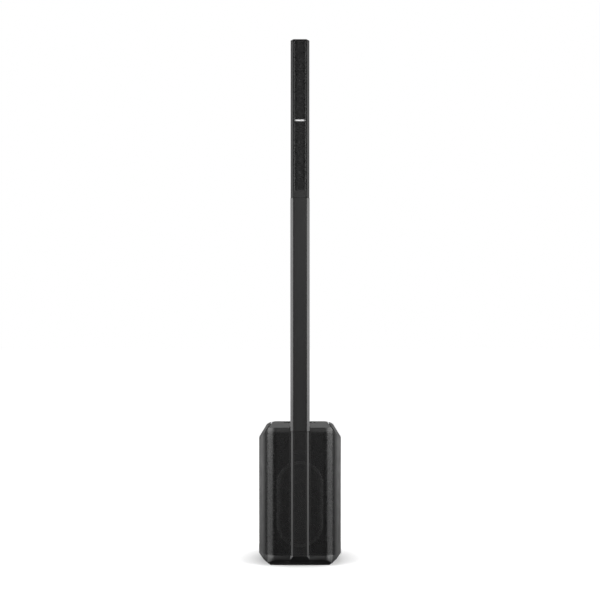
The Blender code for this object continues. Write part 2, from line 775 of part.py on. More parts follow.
def build_woofer():
    """An oblong woofer: pressed basket, rolled surround, cone with its voice coil, and magnet."""
    s = WOOFER_STRAIGHT
    flange_front, flange_back = BAFFLE_FRONT - 0.0035, BAFFLE_FRONT - RUNNING_GAP
    basket = (
        (BASKET_RADIUS, s, flange_front),
        (BASKET_RADIUS, s, flange_back),
        (0.0790, s, flange_back),
        (0.0520, 0.0360, -0.1300),
        (0.0400, 0.0, BASKET_BACK),
        (0.0215, 0.0, BASKET_BACK),
        (0.0215, 0.0, BASKET_BACK - 0.0030),
        (0.0380, 0.0, BASKET_BACK - 0.0030),
        (0.0495, 0.0345, -0.1330),
        (0.0765, s, BAFFLE_FRONT),
        (0.0765, s, flange_front),
    )
    part("woofer_basket", loft([racetrack(*ring) for ring in basket], closed=True), "steel")
    roll = [(ROLL_INNER, ROLL_FRONT)]
    roll += half_roll(ROLL_INNER, ROLL_OUTER, ROLL_FRONT, 0.0056)
    roll += [(ROLL_OUTER, ROLL_FRONT), (ROLL_OUTER, ROLL_BACK)]
    roll += reversed(half_roll(ROLL_INNER + 0.0010, ROLL_OUTER - 0.0010, ROLL_BACK, 0.0046))
    roll += [(ROLL_INNER, ROLL_BACK)]
    rings = [racetrack(radius, s, y) for radius, y in roll]
    part("woofer_surround", loft(rings, closed=True), "surround")
    cone = (
        (0.0100, 0.0, -0.1668),
        (0.0200, 0.0, -0.1650),
        (0.0275, 0.0020, -0.1600),
        (0.0465, 0.0390, -0.1755),
        (CONE_RADIUS, s, BAFFLE_FRONT),
        (CONE_RADIUS, s, BAFFLE_FRONT + 0.0014),
        (0.0465, 0.0390, -0.1738),
        (0.0275, 0.0020, -0.1580),
        (COIL_RADIUS, 0.0, -0.1560),
        (COIL_RADIUS, 0.0, COIL_BACK),
        (COIL_RADIUS - 0.0008, 0.0, COIL_BACK),
        (COIL_RADIUS - 0.0008, 0.0, -0.1575),
    )
    part("woofer_cone", loft([racetrack(*ring) for ring in cone]), "cone")
    plate, gap_floor = BASKET_BACK + RUNNING_GAP, -0.1015
    motor = [
        (0, plate),
        (0.0175, plate),
        (0.0175, gap_floor),
        (0.0203, gap_floor),
        (0.0203, plate),
        (0.0460, plate),
        (0.0460, -0.0930),
        (0.0300, -0.0880),
        (0, -0.0880),
    ]
    to_back = Matrix.Translation((0, 0, WOOFER_Z)) @ Matrix.Rotation(-math.pi / 2, 4, "X")
    part("woofer_magnet", turned(motor, 24, to_back), "magnet")


# ---- Plug and socket ----
def plug_rings(low, high):
    """The tongue of a plug, with a tapered nose."""
    rings = []
    for z, shrink in ((low, PLUG_TAPER), (low + PLUG_NOSE, 0), (high, 0)):
        loop = rectangle(PLUG_HALF_X - shrink, PLUG_HALF_Y - shrink, PLUG_CORNER)
        rings.append([(x, y + PLUG_Y, z) for x, y in loop])
    return rings


def plug_hole(grow):
    loop = rectangle(PLUG_HALF_X + grow, PLUG_HALF_Y + grow, PLUG_CORNER + grow)
    return shifted(loop, 0, PLUG_Y)


def build_column_socket():
    """The cup in the base that takes the extension's plug, with the collar that the column stands on."""
    low = EXTENSION_LOW - PLUG_LENGTH - RUNNING_GAP - SOCKET_FLOOR
    collar_low = BASE_COLLAR_HIGH - BASE_COLLAR_HEIGHT
    body = prism([plug_hole(SOCKET_GROW + SOCKET_WALL)], low, BASE_COLLAR_HIGH)
    socket = part("column_socket", body, "inner")
    collar = prism([inset(column_outline(), 0.0020)], collar_low, BASE_COLLAR_HIGH)
    combine(socket, cutter("socket_collar", collar), "UNION")
    well = prism([plug_hole(SOCKET_GROW)], low + SOCKET_FLOOR, 0.54)
    combine(socket, cutter("socket_well", well), "DIFFERENCE")


def build_extension():
    outer = column_outline()
    inner = inset(outer, COLUMN_WALL)
    part("extension_tube", prism([outer, inner], EXTENSION_LOW, EXTENSION_HIGH), "column")
    filling = inset(outer, COLUMN_WALL + FIT_GAP)
    tongue_top = EXTENSION_LOW + 0.004
    plug = part("extension_plug", prism([filling], EXTENSION_LOW + FIT_GAP, PLUG_FILLING_HIGH), "inner")
    tongue = loft(plug_rings(EXTENSION_LOW - PLUG_LENGTH, tongue_top))
    combine(plug, cutter("extension_tongue", tongue), "UNION")
    low = EXTENSION_HIGH - PLUG_LENGTH - SOCKET_FLOOR - RUNNING_GAP
    body = prism([filling], low, EXTENSION_HIGH - FIT_GAP)
    socket = part("extension_socket", body, "inner")
    well = prism([plug_hole(SOCKET_GROW)], low + SOCKET_FLOOR, EXTENSION_HIGH + 0.02)
    combine(socket, cutter("extension_well", well), "DIFFERENCE")
    build_extension_cable(PLUG_FILLING_HIGH + FIT_GAP, low - FIT_GAP)


def build_extension_cable(low, high):
    """The wires from plug to socket inside the extension, held at both ends, with a little slack."""
    curve = bpy.data.curves.new("extension_cable", "CURVE")
    curve.dimensions = "3D"
    curve.bevel_depth = 0.0035
    curve.bevel_resolution = 2
    curve.use_fill_caps = True
    spline = curve.splines.new("POLY")
    count = 17
    spline.points.add(count - 1)
    for index, point in enumerate(spline.points):
        share = index / (count - 1)
        sway = 0.009 * math.sin(math.pi * share) * math.sin(4 * math.pi * share)
        point.co = (sway, PLUG_Y, low + (high - low) * share, 1)
    curve.materials.append(LOOKS["cable"])
    PARTS.objects.link(bpy.data.objects.new("extension_cable", curve))


# ---- Array ----
def array_housing_loop():
    """The open-fronted section of the array's shell."""
    outer = column_outline(ARRAY_SHRINK)
    outer = [point for point in outer if point[0] > 0 and (point[0] > ARRAY_OPENING_HALF or point[1] > -0.18)]
    half = COLUMN_HALF - ARRAY_SHRINK
    back = COLUMN_BACK - ARRAY_SHRINK
    inner = [
        (ARRAY_OPENING_HALF, FRONT + 0.0046),
        (half - ARRAY_WALL, FRONT + COLUMN_BEVEL + 0.0012),
        (half - ARRAY_WALL, back - COLUMN_BACK_BEVEL - 0.0012),
        (half - COLUMN_BACK_BEVEL - 0.0012, back - ARRAY_WALL),
    ]
    left = [(-x, y) for x, y in reversed(outer)]
    inner_left = [(-x, y) for x, y in inner]
    return outer + left + inner_left + list(reversed(inner))


def curled(half, front, drop, steps=10):
    """Points across the array's grille from left to right: flat in the middle, its long edges curled back."""
    xs = [half * (2 * step / steps - 1) for step in range(steps + 1)]
    return [(x, front + drop * abs(x / half) ** 3) for x in xs]


def build_array_shell():
    part("array_housing", prism([array_housing_loop()], ARRAY_LOW, LID_LOW - FIT_GAP), "column")
    front = curled(ARRAY_GRILLE_HALF, ARRAY_GRILLE_FRONT, ARRAY_GRILLE_DROP)
    back = curled(ARRAY_GRILLE_HALF, ARRAY_GRILLE_FRONT + ARRAY_GRILLE_WALL, ARRAY_GRILLE_DROP)
    grille = prism([front + back[::-1]], ARRAY_GRILLE_LOW, ARRAY_GRILLE_HIGH)
    part("array_grille", grille, "grille")
    lid = prism([column_outline(ARRAY_SHRINK)], LID_LOW, TOTAL_HEIGHT)
    for side in (1, -1):
        cut_away(lid, (side * 0.0240, 0, TOTAL_HEIGHT), (side * 0.38, 0, 1))
    cut_away(lid, (0, FRONT + 0.0035, TOTAL_HEIGHT), (0, -1, 1))
    part("array_top_cap", lid, "column")


def build_array_plug():
    """The block that closes the array's lower end, with the tongue that goes into the extension."""
    half = COLUMN_HALF - ARRAY_SHRINK - ARRAY_WALL - FIT_GAP
    back = COLUMN_BACK - ARRAY_SHRINK - ARRAY_WALL - FIT_GAP
    right = crowned_face(ARRAY_GRILLE_HALF, FRONT + 0.0012, COLUMN_CROWN)
    right += [
        (ARRAY_GRILLE_HALF, FRONT + 0.0054),
        (half, FRONT + COLUMN_BEVEL + 0.0020),
        (half, back - COLUMN_BACK_BEVEL),
        (half - COLUMN_BACK_BEVEL, back),
    ]
    block = part("array_plug", prism([mirrored(right)], ARRAY_LOW, ARRAY_BLOCK_HIGH), "column")
    tongue = loft(plug_rings(EXTENSION_HIGH - PLUG_LENGTH + RUNNING_GAP, ARRAY_LOW + 0.004))
    combine(block, cutter("array_tongue", tongue), "UNION")


def build_badge():
    """A plain bar in the middle of the array's grille."""
    face = rectangle(BADGE_HALF_X, BADGE_HALF_Z, BADGE_HALF_Z - 0.0002)
    low, high = FRONT + 0.0001, ARRAY_GRILLE_FRONT - 0.0001
    badge = prism([shifted(face, 0, BADGE_Z)], low, high, True)
    part("array_badge", badge, "badge")


def driver_places():
    """Each array driver's matrix: its own +Z faces out of the front, turned left and right in turn."""
    for index in range(DRIVER_COUNT):
        turn = DRIVER_TURN * (1 if index % 2 else -1)
        place = Matrix.Translation((0, DRIVER_Y, DRIVER_TOP_Z - index * DRIVER_PITCH))
        yield place @ Matrix.Rotation(turn, 4, "Z") @ Matrix.Rotation(math.pi / 2, 4, "X")


def build_array_baffle():
    """The moulding behind the array's grille, with a stepped and turned seat for each driver."""
    right = [(0.0240, -0.2115), (0.0322, -0.2060), (0.0322, -0.1800)]
    block = prism([mirrored(right)], ARRAY_BLOCK_HIGH + FIT_GAP, LID_LOW - 0.0010)
    baffle = part("array_baffle", block, "inner")
    seat = DRIVER_RADIUS + 0.0006
    ledge = -0.0024
    profile = [(0, 0.030), (seat, 0.030), (seat, ledge), (0.0227, ledge), (0.0227, -0.050), (0, -0.050)]
    seats = join([turned(profile, 16, place) for place in driver_places()])
    combine(baffle, cutter("array_baffle_seats", seats), "DIFFERENCE")


def build_drivers():
    """Small full-range drivers: flange, surround, cone, dust cap, basket and magnet."""
    profile = [
        (0, -0.0050),
        (0.0085, -0.0050),
        (0.0200, -0.0010),
        (0.0225, 0.0004),
        (DRIVER_RADIUS, 0),
        (DRIVER_RADIUS, -0.0020),
        (0.0222, -0.0020),
        (0.0205, -0.0110),
        (0.0165, -0.0120),
        (0.0165, -0.0255),
        (0, -0.0255),
    ]
    for index, place in enumerate(driver_places()):
        obj = part(f"array_driver_{index + 1}", turned(profile, 14), "steel")
        obj.matrix_world = place


# ---- Control panel ----
def on_panel(x, z, loop, y):
    """A loop drawn on the panel's plane around a point, at a depth."""
    return [(x + u, y, z + v) for u, v in loop]


def stepped(name, look, x, z, stages):
    """A solid through loops on the panel, from its blind end or bore out and back in."""
    return part(name, loft([on_panel(x, z, loop, y) for loop, y in stages]), look)


def button_loop(grow):
    return rectangle(BUTTON_HALF_X + grow, BUTTON_HALF_Z + grow, BUTTON_CORNER + grow, 3)


def standby_loop(grow):
    return circle(STANDBY_RADIUS + grow)


def button_spots():
    """(name, x, z) of the oblong buttons."""
    for index, x in enumerate(CHANNEL_X):
        yield f"edit_button_{index + 1}", x, EDIT_Z
        yield f"mute_button_{index + 1}", x, MUTE_Z
    yield "tone_button", CHANNEL_X[0], FUNCTION_Z
    yield "pairing_button", CHANNEL_X[2], FUNCTION_Z


def panel_outline(low, high, low_corner, high_corner):
    """A panel plate's outline, anticlockwise from its lower left corner."""
    corners = ((-1, low, low_corner), (1, low, low_corner), (1, high, high_corner), (-1, high, high_corner))
    return rounded([(side * PANEL_HALF_X, z, radius) for side, z, radius in corners])


def build_control_panel():
    """The upper plate at the back, with a hole for each control and input."""
    loops = [panel_outline(PANEL_SPLIT_Z + FIT_GAP / 2, PANEL_HIGH_Z, 0.001, PANEL_CORNER)]
    loops += [shifted(circle(SHAFT_HOLE, 12), x, KNOB_Z) for x in CHANNEL_X]
    loops += [shifted(button_loop(BUTTON_PLAY), x, z) for _, x, z in button_spots()]
    round_holes = [(XLR_BARREL, x, COMBO_Z) for x in COMBO_X]
    round_holes.append((LINE_BARREL, CHANNEL_X[2], LINE_Z))
    round_holes.append((AUX_BARREL, CHANNEL_X[2], AUX_Z))
    loops += [shifted(circle(radius + HOLE_GROW), x, z) for radius, x, z in round_holes]
    part("control_panel", prism(loops, PANEL_OUT - PANEL_THICK, PANEL_OUT, True), "panel")


def build_output_panel():
    """The lower plate, with a hole for each output, the power inlet and the standby button."""
    loops = [panel_outline(PANEL_LOW_Z, PANEL_SPLIT_Z - FIT_GAP / 2, PANEL_CORNER, 0.001)]
    loops.append(shifted(standby_loop(BUTTON_PLAY), STANDBY_X, STANDBY_Z))
    loops.append(shifted(circle(XLR_BARREL + HOLE_GROW), 0, OUTPUT_Z))
    for (half_x, half_z), x, z in (
        (DATA_HALF, DATA_X, OUTPUT_Z),
        (USB_HALF, USB_X, OUTPUT_Z),
        (INLET_HALF, INLET_X, INLET_Z),
    ):
        loops.append(shifted(rectangle(half_x + HOLE_GROW, half_z + HOLE_GROW, 0.001), x, z))
    part("output_panel", prism(loops, PANEL_OUT - PANEL_THICK, PANEL_OUT, True), "panel")


def build_jack(name, x, z, flange, barrel, bores):
    """A panel connector. Its bores are (loop, depth of the floor), from the deepest to the mouth."""
    tops = [depth for _, depth in bores[1:]] + [FLANGE_FRONT]
    stages = []
    for (loop, floor), top in zip(bores, tops):
        stages += [(loop, floor), (loop, top)]
    stages += [(flange, FLANGE_FRONT), (flange, FLANGE_BACK), (barrel, FLANGE_BACK), (barrel, BARREL_BACK)]
    return stepped(name, "connector", x, z, stages)


def add_pins(jack, name, spots, half_x, half_z, low, high):
    """Contact pins that stand on a connector's floor."""
    boxes = [((x - half_x, low, z - half_z), (x + half_x, high, z + half_z)) for x, z in spots]
    combine(jack, cutter(name, join([box(*corners) for corners in boxes])), "UNION")


def build_line_jacks():
    """A line jack and a small stereo jack in one block, with one flange."""
    x, middle = CHANNEL_X[2], (LINE_Z + AUX_Z) / 2
    flange = shifted(rectangle(*LINE_FLANGE, 0.0030), 0, middle - LINE_Z)
    jacks = build_jack("line_jacks", x, LINE_Z, flange, circle(LINE_BARREL), [(circle(JACK_BORE), JACK_DEPTH)])
    for name, radius, low, high, operation in (
        ("aux_barrel", AUX_BARREL, BARREL_BACK, FLANGE_BACK + 0.0008, "UNION"),
        ("aux_bore", AUX_BORE, AUX_DEPTH, FLANGE_FRONT + 0.0010, "DIFFERENCE"),
    ):
        rings = [on_panel(x, AUX_Z, circle(radius), y) for y in (low, high)]
        combine(jacks, cutter(name, loft(rings)), operation)


def build_audio_connectors():
    """Two combined inputs, the line jacks and a three-pin output."""
    flange, barrel = rectangle(XLR_HALF_X, XLR_HALF_Z, 0.0030), circle(XLR_BARREL)
    bores = [(circle(JACK_BORE), JACK_DEPTH), (circle(0.0102), 0.1995)]
    for index, x in enumerate(COMBO_X):
        build_jack(f"combo_jack_{index + 1}", x, COMBO_Z, flange, barrel, bores)
    build_line_jacks()
    output = build_jack("xlr_output", 0, OUTPUT_Z, flange, barrel, [(circle(0.0104), 0.1860)])
    spots = []
    for angle in (0, 180, 270):
        turn = math.radians(angle)
        across = OUTPUT_PIN_CIRCLE * math.cos(turn)
        spots.append((across, OUTPUT_Z + OUTPUT_PIN_CIRCLE * math.sin(turn)))
    add_pins(output, "output_pins", spots, 0.0011, 0.0011, 0.1850, 0.1970)


def build_data_and_power():
    """A network port, a USB port and a three-blade power inlet."""
    bores = [(rectangle(0.0060, 0.0053, 0.0005), 0.1850)]
    flange, barrel = rectangle(0.0090, 0.0085, 0.0015), rectangle(*DATA_HALF, 0.001)
    build_jack("data_port", DATA_X, OUTPUT_Z, flange, barrel, bores)
    bores = [(rectangle(0.0043, 0.0040, 0.0005), 0.1880)]
    flange, barrel = rectangle(0.0076, 0.0072, 0.0015), rectangle(*USB_HALF, 0.001)
    build_jack("usb_port", USB_X, OUTPUT_Z, flange, barrel, bores)
    bores = [(rectangle(0.0122, 0.0082, 0.0020), 0.1830)]
    flange, barrel = rectangle(0.0250, 0.0140, 0.0040), rectangle(*INLET_HALF, 0.002)
    inlet = build_jack("power_inlet", INLET_X, INLET_Z, flange, barrel, bores)
    spots = [(INLET_X + x, INLET_Z + z) for x, z in ((-0.0070, -0.0015), (0, 0.0025), (0.0070, -0.0015))]
    add_pins(inlet, "inlet_blades", spots, 0.0010, 0.0020, 0.1820, 0.1965)


def build_controls():
    """Knobs on their shafts, and buttons with the skirts that keep them in the panel."""
    under = PANEL_OUT + 0.0006
    top = PANEL_OUT + KNOB_HEIGHT
    for index, x in enumerate(CHANNEL_X):
        stages = [
            (circle(SHAFT_RADIUS, 20), KNOB_SHAFT_BACK),
            (circle(SHAFT_RADIUS, 20), under),
            (circle(KNOB_RADIUS, 20), under),
            (circle(KNOB_RADIUS - 0.0006, 20), top - 0.0015),
            (circle(KNOB_RADIUS - 0.0020, 20), top),
        ]
        stepped(f"channel_knob_{index + 1}", "control", x, KNOB_Z, stages)
    for name, x, z in button_spots():
        build_button(name, x, z, button_loop)
    build_button("standby_button", STANDBY_X, STANDBY_Z, standby_loop)


def build_button(name, x, z, loop):
    out = PANEL_OUT + BUTTON_STANDS_OUT
    stages = [
        (loop(SKIRT_GROW), SKIRT_BACK),
        (loop(SKIRT_GROW), SKIRT_FRONT),
        (loop(0), SKIRT_FRONT),
        (loop(0), out - CROWN_SHRINK),
        (loop(-CROWN_SHRINK), out),
    ]
    stepped(name, "control", x, z, stages)


# ---- Electronics behind the panel ----
def comb(half, height, base, fins, fin_width):
    """A heat sink's section: a base with upright fins."""
    outline = [(-half, 0), (half, 0), (half, base)]
    pitch = (2 * half - fin_width) / (fins - 1)
    for index in reversed(range(fins)):
        left = -half + index * pitch
        outline += [(left + fin_width, height), (left, height)]
        if index:
            outline += [(left, base), (left - pitch + fin_width, base)]
    outline.remove((half, base))
    return outline


def around(x, z, half, y_low, y_high):
    """The corners of an upright square box around a point of the panel."""
    return (x - half, y_low, z - half), (x + half, y_high, z + half)


def build_amplifier_board():
    """The circuit board, with an encoder behind each knob and a switch behind each button."""
    board_front = BOARD_Y + BOARD_THICK
    plate = box((-BOARD_HALF_X, BOARD_Y, BOARD_LOW), (BOARD_HALF_X, board_front, BOARD_HIGH))
    board = part("amplifier_board", plate, "board")
    inside = board_front - 0.0005
    knob_bodies = [around(x, KNOB_Z, 0.0060, inside, KNOB_SHAFT_BACK - FIT_GAP) for x in CHANNEL_X]
    pressed = SKIRT_BACK - BUTTON_TRAVEL - RUNNING_GAP
    spots = list(button_spots()) + [("standby", STANDBY_X, STANDBY_Z)]
    switches = [around(x, z, 0.0030, inside, pressed) for _, x, z in spots]
    controls = join([box(*corners) for corners in knob_bodies + switches])
    combine(board, cutter("board_controls", controls), "UNION")
    chips = [
        ((-0.075, 0.150, 0.255), (-0.045, inside - 0.0006, 0.290)),
        ((-0.035, 0.148, 0.262), (-0.012, inside - 0.0006, 0.285)),
        ((0.015, 0.144, 0.258), (0.055, inside - 0.0006, 0.290)),
    ]
    combine(board, cutter("board_chips", join([box(*corners) for corners in chips])), "UNION")


def build_electronics():
    build_amplifier_board()
    supply = part("power_supply", box((-0.070, 0.118, 0.125), (0.070, BOARD_Y - FIT_GAP, 0.235)), "steel")
    bevel(supply, 0.003)
    sink = prism([comb(0.060, 0.036, 0.006, 9, 0.003)], 0.310, 0.430)
    sink.transform(Matrix.Translation((0, BOARD_Y - FIT_GAP, 0)) @ Matrix.Rotation(math.pi, 4, "Z"))
    part("heat_sink", sink, "aluminium")


clear_scene()
PARTS = collection("column_pa_system")
CUTTERS = collection("cutters")
LOOKS = make_materials()
build_cheeks()
build_top_cap()
build_handle_bar()
build_bottom_pan()
build_front_grille()
build_rear_housing()
build_port_tube()
build_feet()
build_front_baffle()
build_woofer()
build_column_socket()
build_extension()
build_array_shell()
build_array_plug()
build_badge()
build_array_baffle()
build_drivers()
build_control_panel()
build_output_panel()
build_audio_connectors()
build_data_and_power()
build_controls()
build_electronics()
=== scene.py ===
"""Looks of a column PA system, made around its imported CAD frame: metres, +Z up, the front faces -Y."""

import json
import math

import bmesh
import bpy
from mathutils import Matrix, Vector


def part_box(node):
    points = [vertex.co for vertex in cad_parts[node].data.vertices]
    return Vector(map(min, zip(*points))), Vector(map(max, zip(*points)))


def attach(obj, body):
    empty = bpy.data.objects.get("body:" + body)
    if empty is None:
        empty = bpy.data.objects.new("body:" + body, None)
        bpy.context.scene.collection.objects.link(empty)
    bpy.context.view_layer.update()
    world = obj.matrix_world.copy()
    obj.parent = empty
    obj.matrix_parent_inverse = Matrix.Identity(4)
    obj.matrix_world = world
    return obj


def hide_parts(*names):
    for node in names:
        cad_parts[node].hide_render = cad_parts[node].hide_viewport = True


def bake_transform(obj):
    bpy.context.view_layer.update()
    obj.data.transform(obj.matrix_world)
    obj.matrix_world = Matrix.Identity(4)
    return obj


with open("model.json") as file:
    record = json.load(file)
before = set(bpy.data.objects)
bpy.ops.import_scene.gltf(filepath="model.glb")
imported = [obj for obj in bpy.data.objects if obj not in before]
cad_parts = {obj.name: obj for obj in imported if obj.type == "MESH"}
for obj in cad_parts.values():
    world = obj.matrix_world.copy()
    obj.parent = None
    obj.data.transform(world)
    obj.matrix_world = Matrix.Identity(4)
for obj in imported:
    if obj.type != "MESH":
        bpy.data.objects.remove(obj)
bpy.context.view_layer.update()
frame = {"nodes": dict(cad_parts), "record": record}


# ---- Places, read from the frame ----
def middle(node):
    low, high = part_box(node)
    return (low + high) / 2


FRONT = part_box("extension_tube")[0].y
COLUMN_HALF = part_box("extension_tube")[1].x
GRILLE_LOW, GRILLE_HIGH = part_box("front_grille")[0].z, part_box("front_grille")[1].z
PANEL_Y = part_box("control_panel")[1].y
FLANGE_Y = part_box("xlr_output")[1].y
WOOFER_Z = middle("woofer_magnet").z
CHANNELS = ("channel_knob_1", "channel_knob_2", "channel_knob_3")
BUTTONS = [node for node in frame["nodes"] if "_button" in node]
XLR_JACKS = ("combo_jack_1", "combo_jack_2", "xlr_output")
DRIVERS = sorted(node for node in frame["nodes"] if node.startswith("array_driver_"))


# ---- Materials ----
def colour_of(grey, tint=(1, 1, 1)):
    return (*(grey * share for share in tint), 1)


def add_node(tree, kind, values=()):
    """A shader node with its inputs set: each to a value, or to another node's output."""
    node = tree.nodes.new("ShaderNode" + kind)
    for name, value in dict(values).items():
        if isinstance(value, bpy.types.NodeSocket):
            tree.links.new(value, node.inputs[name])
        else:
            node.inputs[name].default_value = value
    return node


def set_stops(ramp, stops):
    """Gives a colour ramp its (position, colour) stops."""
    elements = ramp.color_ramp.elements
    for element, (position, colour) in zip((elements[0], elements[1]), (stops[0], stops[-1])):
        element.position, element.color = position, colour
    for position, colour in stops[1:-1]:
        elements.new(position).color = colour


class Look:
    """A Principled material whose colour, roughness and surface come from noise in the piece's own space."""

    def __init__(self, name, grey, roughness, metallic=0.0, tint=(1, 1, 1), specular=0.5):
        self.material = bpy.data.materials.new(name)
        self.material.use_nodes = True
        self.tree = self.material.node_tree
        self.shader = self.tree.nodes["Principled BSDF"]
        self.shader.inputs["Base Color"].default_value = colour_of(grey, tint)
        self.shader.inputs["Roughness"].default_value = roughness
        self.shader.inputs["Metallic"].default_value = metallic
        self.shader.inputs["Specular IOR Level"].default_value = specular
        self.grey, self.tint, self.roughness = grey, tint, roughness
        self.place = add_node(self.tree, "TexCoord").outputs["Object"]
        self.bumps = None

    def noise(self, scale, detail, stretch):
        mapping = add_node(self.tree, "Mapping", {"Vector": self.place, "Scale": stretch})
        values = {"Vector": mapping.outputs["Vector"], "Scale": scale, "Detail": detail}
        return add_node(self.tree, "TexNoise", values).outputs["Fac"]

    def mottle(self, spread, scale, detail=4.0, stretch=(1, 1, 1)):
        """The colour wanders by a share of itself, in patches."""
        ramp = add_node(self.tree, "ValToRGB", {"Fac": self.noise(scale, detail, stretch)})
        dark, pale = (colour_of(self.grey * (1 + sign * spread), self.tint) for sign in (-1, 1))
        set_stops(ramp, ((0.3, dark), (0.7, pale)))
        self.tree.links.new(ramp.outputs["Color"], self.shader.inputs["Base Color"])
        return self

    def haze(self, spread, scale, detail=4.0, stretch=(1, 1, 1)):
        """The roughness wanders up and down by a spread, as handled and moulded surfaces do."""
        values = {"From Min": 0.3, "From Max": 0.7, "Value": self.noise(scale, detail, stretch)}
        values.update({"To Min": self.roughness - spread, "To Max": self.roughness + spread})
        span = add_node(self.tree, "MapRange", values)
        self.tree.links.new(span.outputs["Result"], self.shader.inputs["Roughness"])
        return self

    def bump(self, height, scale, detail=2.0, stretch=(1, 1, 1)):
        """A relief of a height in metres. Reliefs of more than one size add up."""
        values = {"Strength": 1.0, "Distance": height, "Height": self.noise(scale, detail, stretch)}
        if self.bumps:
            values["Normal"] = self.bumps
        self.bumps = add_node(self.tree, "Bump", values).outputs["Normal"]
        self.tree.links.new(self.bumps, self.shader.inputs["Normal"])
        return self


PLAIN = (1, 1, 1)
TALL = (1, 1, 0.2)
BRUSHED = (1, 1, 0.03)
LOOK_VALUES = (  # name, then what Look, its mottle, its haze and (but for the smoothest) its bump are given
    ("shell_plastic", (0.0080, 0.36), (0.18, 14), (0.05, 22), (0.00005, 1100)),
    ("cap_plastic", (0.0170, 0.36), (0.15, 16), (0.05, 25), (0.00006, 900)),
    ("grille_steel", (0.0070, 0.27, 0.1), (0.20, 60), (0.04, 40), (0.00001, 1800)),
    ("mesh_steel", (0.0110, 0.34, 0.1, PLAIN, 0.58), (0.20, 60), (0.04, 40), (0.00001, 1800)),
    ("column_plastic", (0.0060, 0.31), (0.14, 20, 4, TALL), (0.04, 30, 4, TALL), (0.00003, 1500)),
    ("trim_plastic", (0.0060, 0.38, 0.0, PLAIN, 0.34), (0.14, 20, 4, TALL), (0.04, 30, 4, TALL),
     (0.00003, 1500)),
    ("array_plastic", (0.0060, 0.42, 0.0, PLAIN, 0.20), (0.14, 20, 4, TALL), (0.04, 30, 4, TALL),
     (0.00005, 1500)),
    ("panel_metal", (0.0140, 0.46, 0.2), (0.15, 40), (0.05, 60), (0.00005, 1400)),
    ("inner_plastic", (0.0055, 0.75, 0.0, PLAIN, 0.18), (0.20, 30), (0.08, 30), (0.00008, 700)),
    ("cone_paper", (0.0130, 0.72), (0.35, 90), (0.08, 120), (0.00025, 260, 5.0)),
    ("surround_rubber", (0.0090, 0.48), (0.20, 60), (0.06, 80), (0.00004, 900)),
    ("magnet_iron", (0.2000, 0.45, 0.9), (0.12, 80), (0.08, 60), (0.00004, 600)),
    ("stamped_steel", (0.0400, 0.42, 0.6), (0.15, 60), (0.07, 50), (0.00004, 900)),
    ("circuit_board", (0.1000, 0.45, 0.0, (0.12, 0.9, 0.35)), (0.25, 160), (0.06, 100), (0.00008, 500)),
    ("heat_sink_aluminium", (0.5200, 0.34, 1.0), (0.06, 50, 4, (1, 1, 0.05)), (0.07, 400, 4, BRUSHED),
     (0.00003, 1500, 2, BRUSHED)),
    ("connector_plastic", (0.0120, 0.34), (0.15, 120), (0.06, 100), (0.00003, 1800)),
    ("control_rubber", (0.0300, 0.60), (0.12, 150), (0.06, 150), (0.00004, 1600)),
    ("foot_rubber", (0.0120, 0.74), (0.20, 120), (0.06, 90), (0.00010, 900)),
    ("cable_jacket", (0.0100, 0.55), (0.20, 90), (0.06, 90), (0.00004, 900)),
    ("badge_metal", (0.7800, 0.26, 1.0), (0.04, 300, 4, (0.05, 1, 1)), (0.06, 900, 4, (0.03, 1, 1))),
    ("contact_metal", (0.6000, 0.28, 1.0, (1.0, 0.97, 0.90)), (0.06, 300), (0.08, 300)),
    ("gold_contact", (0.7500, 0.25, 1.0, (1.0, 0.74, 0.32)), (0.08, 300), (0.08, 300)),
    ("screw_steel", (0.0600, 0.36, 0.8), (0.20, 500), (0.10, 400), (0.00003, 1500)),
    ("legend_ink", (0.5500, 0.55), (0.06, 400), (0.05, 300)),
    ("label_film", (0.1800, 0.50), (0.05, 120), (0.05, 120)),
    ("dust_cap", (0.0700, 0.26, 0.6), (0.08, 200), (0.05, 200), (0.00003, 900)),
    ("trim_ring", (0.1100, 0.34, 0.5), (0.10, 80), (0.06, 80), (0.00003, 900)),
    ("lens_green", (0.1600, 0.16, 0.0, (0.25, 1.0, 0.35)), (0.10, 600), (0.04, 500)),
    ("lens_red", (0.2000, 0.16, 0.0, (1.0, 0.16, 0.10)), (0.10, 600), (0.04, 500)),
    ("lens_white", (0.5500, 0.16, 0.0, (0.95, 0.98, 1.0)), (0.06, 600), (0.04, 500)),
)


def make_looks():
    """Every material, by its slot in the record, plus the small extra ones."""
    looks = {}
    for name, basis, mottle, haze, *bumps in LOOK_VALUES:
        look = Look(name, *basis).mottle(*mottle).haze(*haze)
        for bump in bumps:
            look.bump(*bump)
        looks[name] = look.material
    return looks


LOOKS = make_looks()


# ---- Making pieces ----
def add_object(name, data):
    obj = bpy.data.objects.new(name, data)
    bpy.context.scene.collection.objects.link(obj)
    return obj


def add_shape(name, bm):
    """An object from a bmesh, which is used up."""
    mesh = bpy.data.meshes.new(name)
    bm.to_mesh(mesh)
    bm.free()
    return add_object(name, mesh)


def modified(bm, kind, **settings):
    """A bmesh as a modifier leaves it."""
    obj = add_shape("work", bm)
    modifier = obj.modifiers.new("work", kind)
    for name, value in settings.items():
        setattr(modifier, name, value)
    bpy.context.view_layer.update()
    made = bmesh.new()
    made.from_object(obj, bpy.context.evaluated_depsgraph_get())
    mesh = obj.data
    bpy.data.objects.remove(obj)
    bpy.data.meshes.remove(mesh)
    return made


def piece(name, bm, look, body, replaces=(), sharp=32):
    """A named piece from a bmesh, in one material, which rides on a body unless it is to be blended."""
    obj = add_shape(name, bm)
    obj.data.materials.append(LOOKS[look])
    obj.data.shade_smooth()
    obj.data.set_sharp_from_angle(angle=math.radians(sharp))
    if body:
        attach(obj, body)
    if replaces:
        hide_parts(*([replaces] if isinstance(replaces, str) else replaces))
    return obj


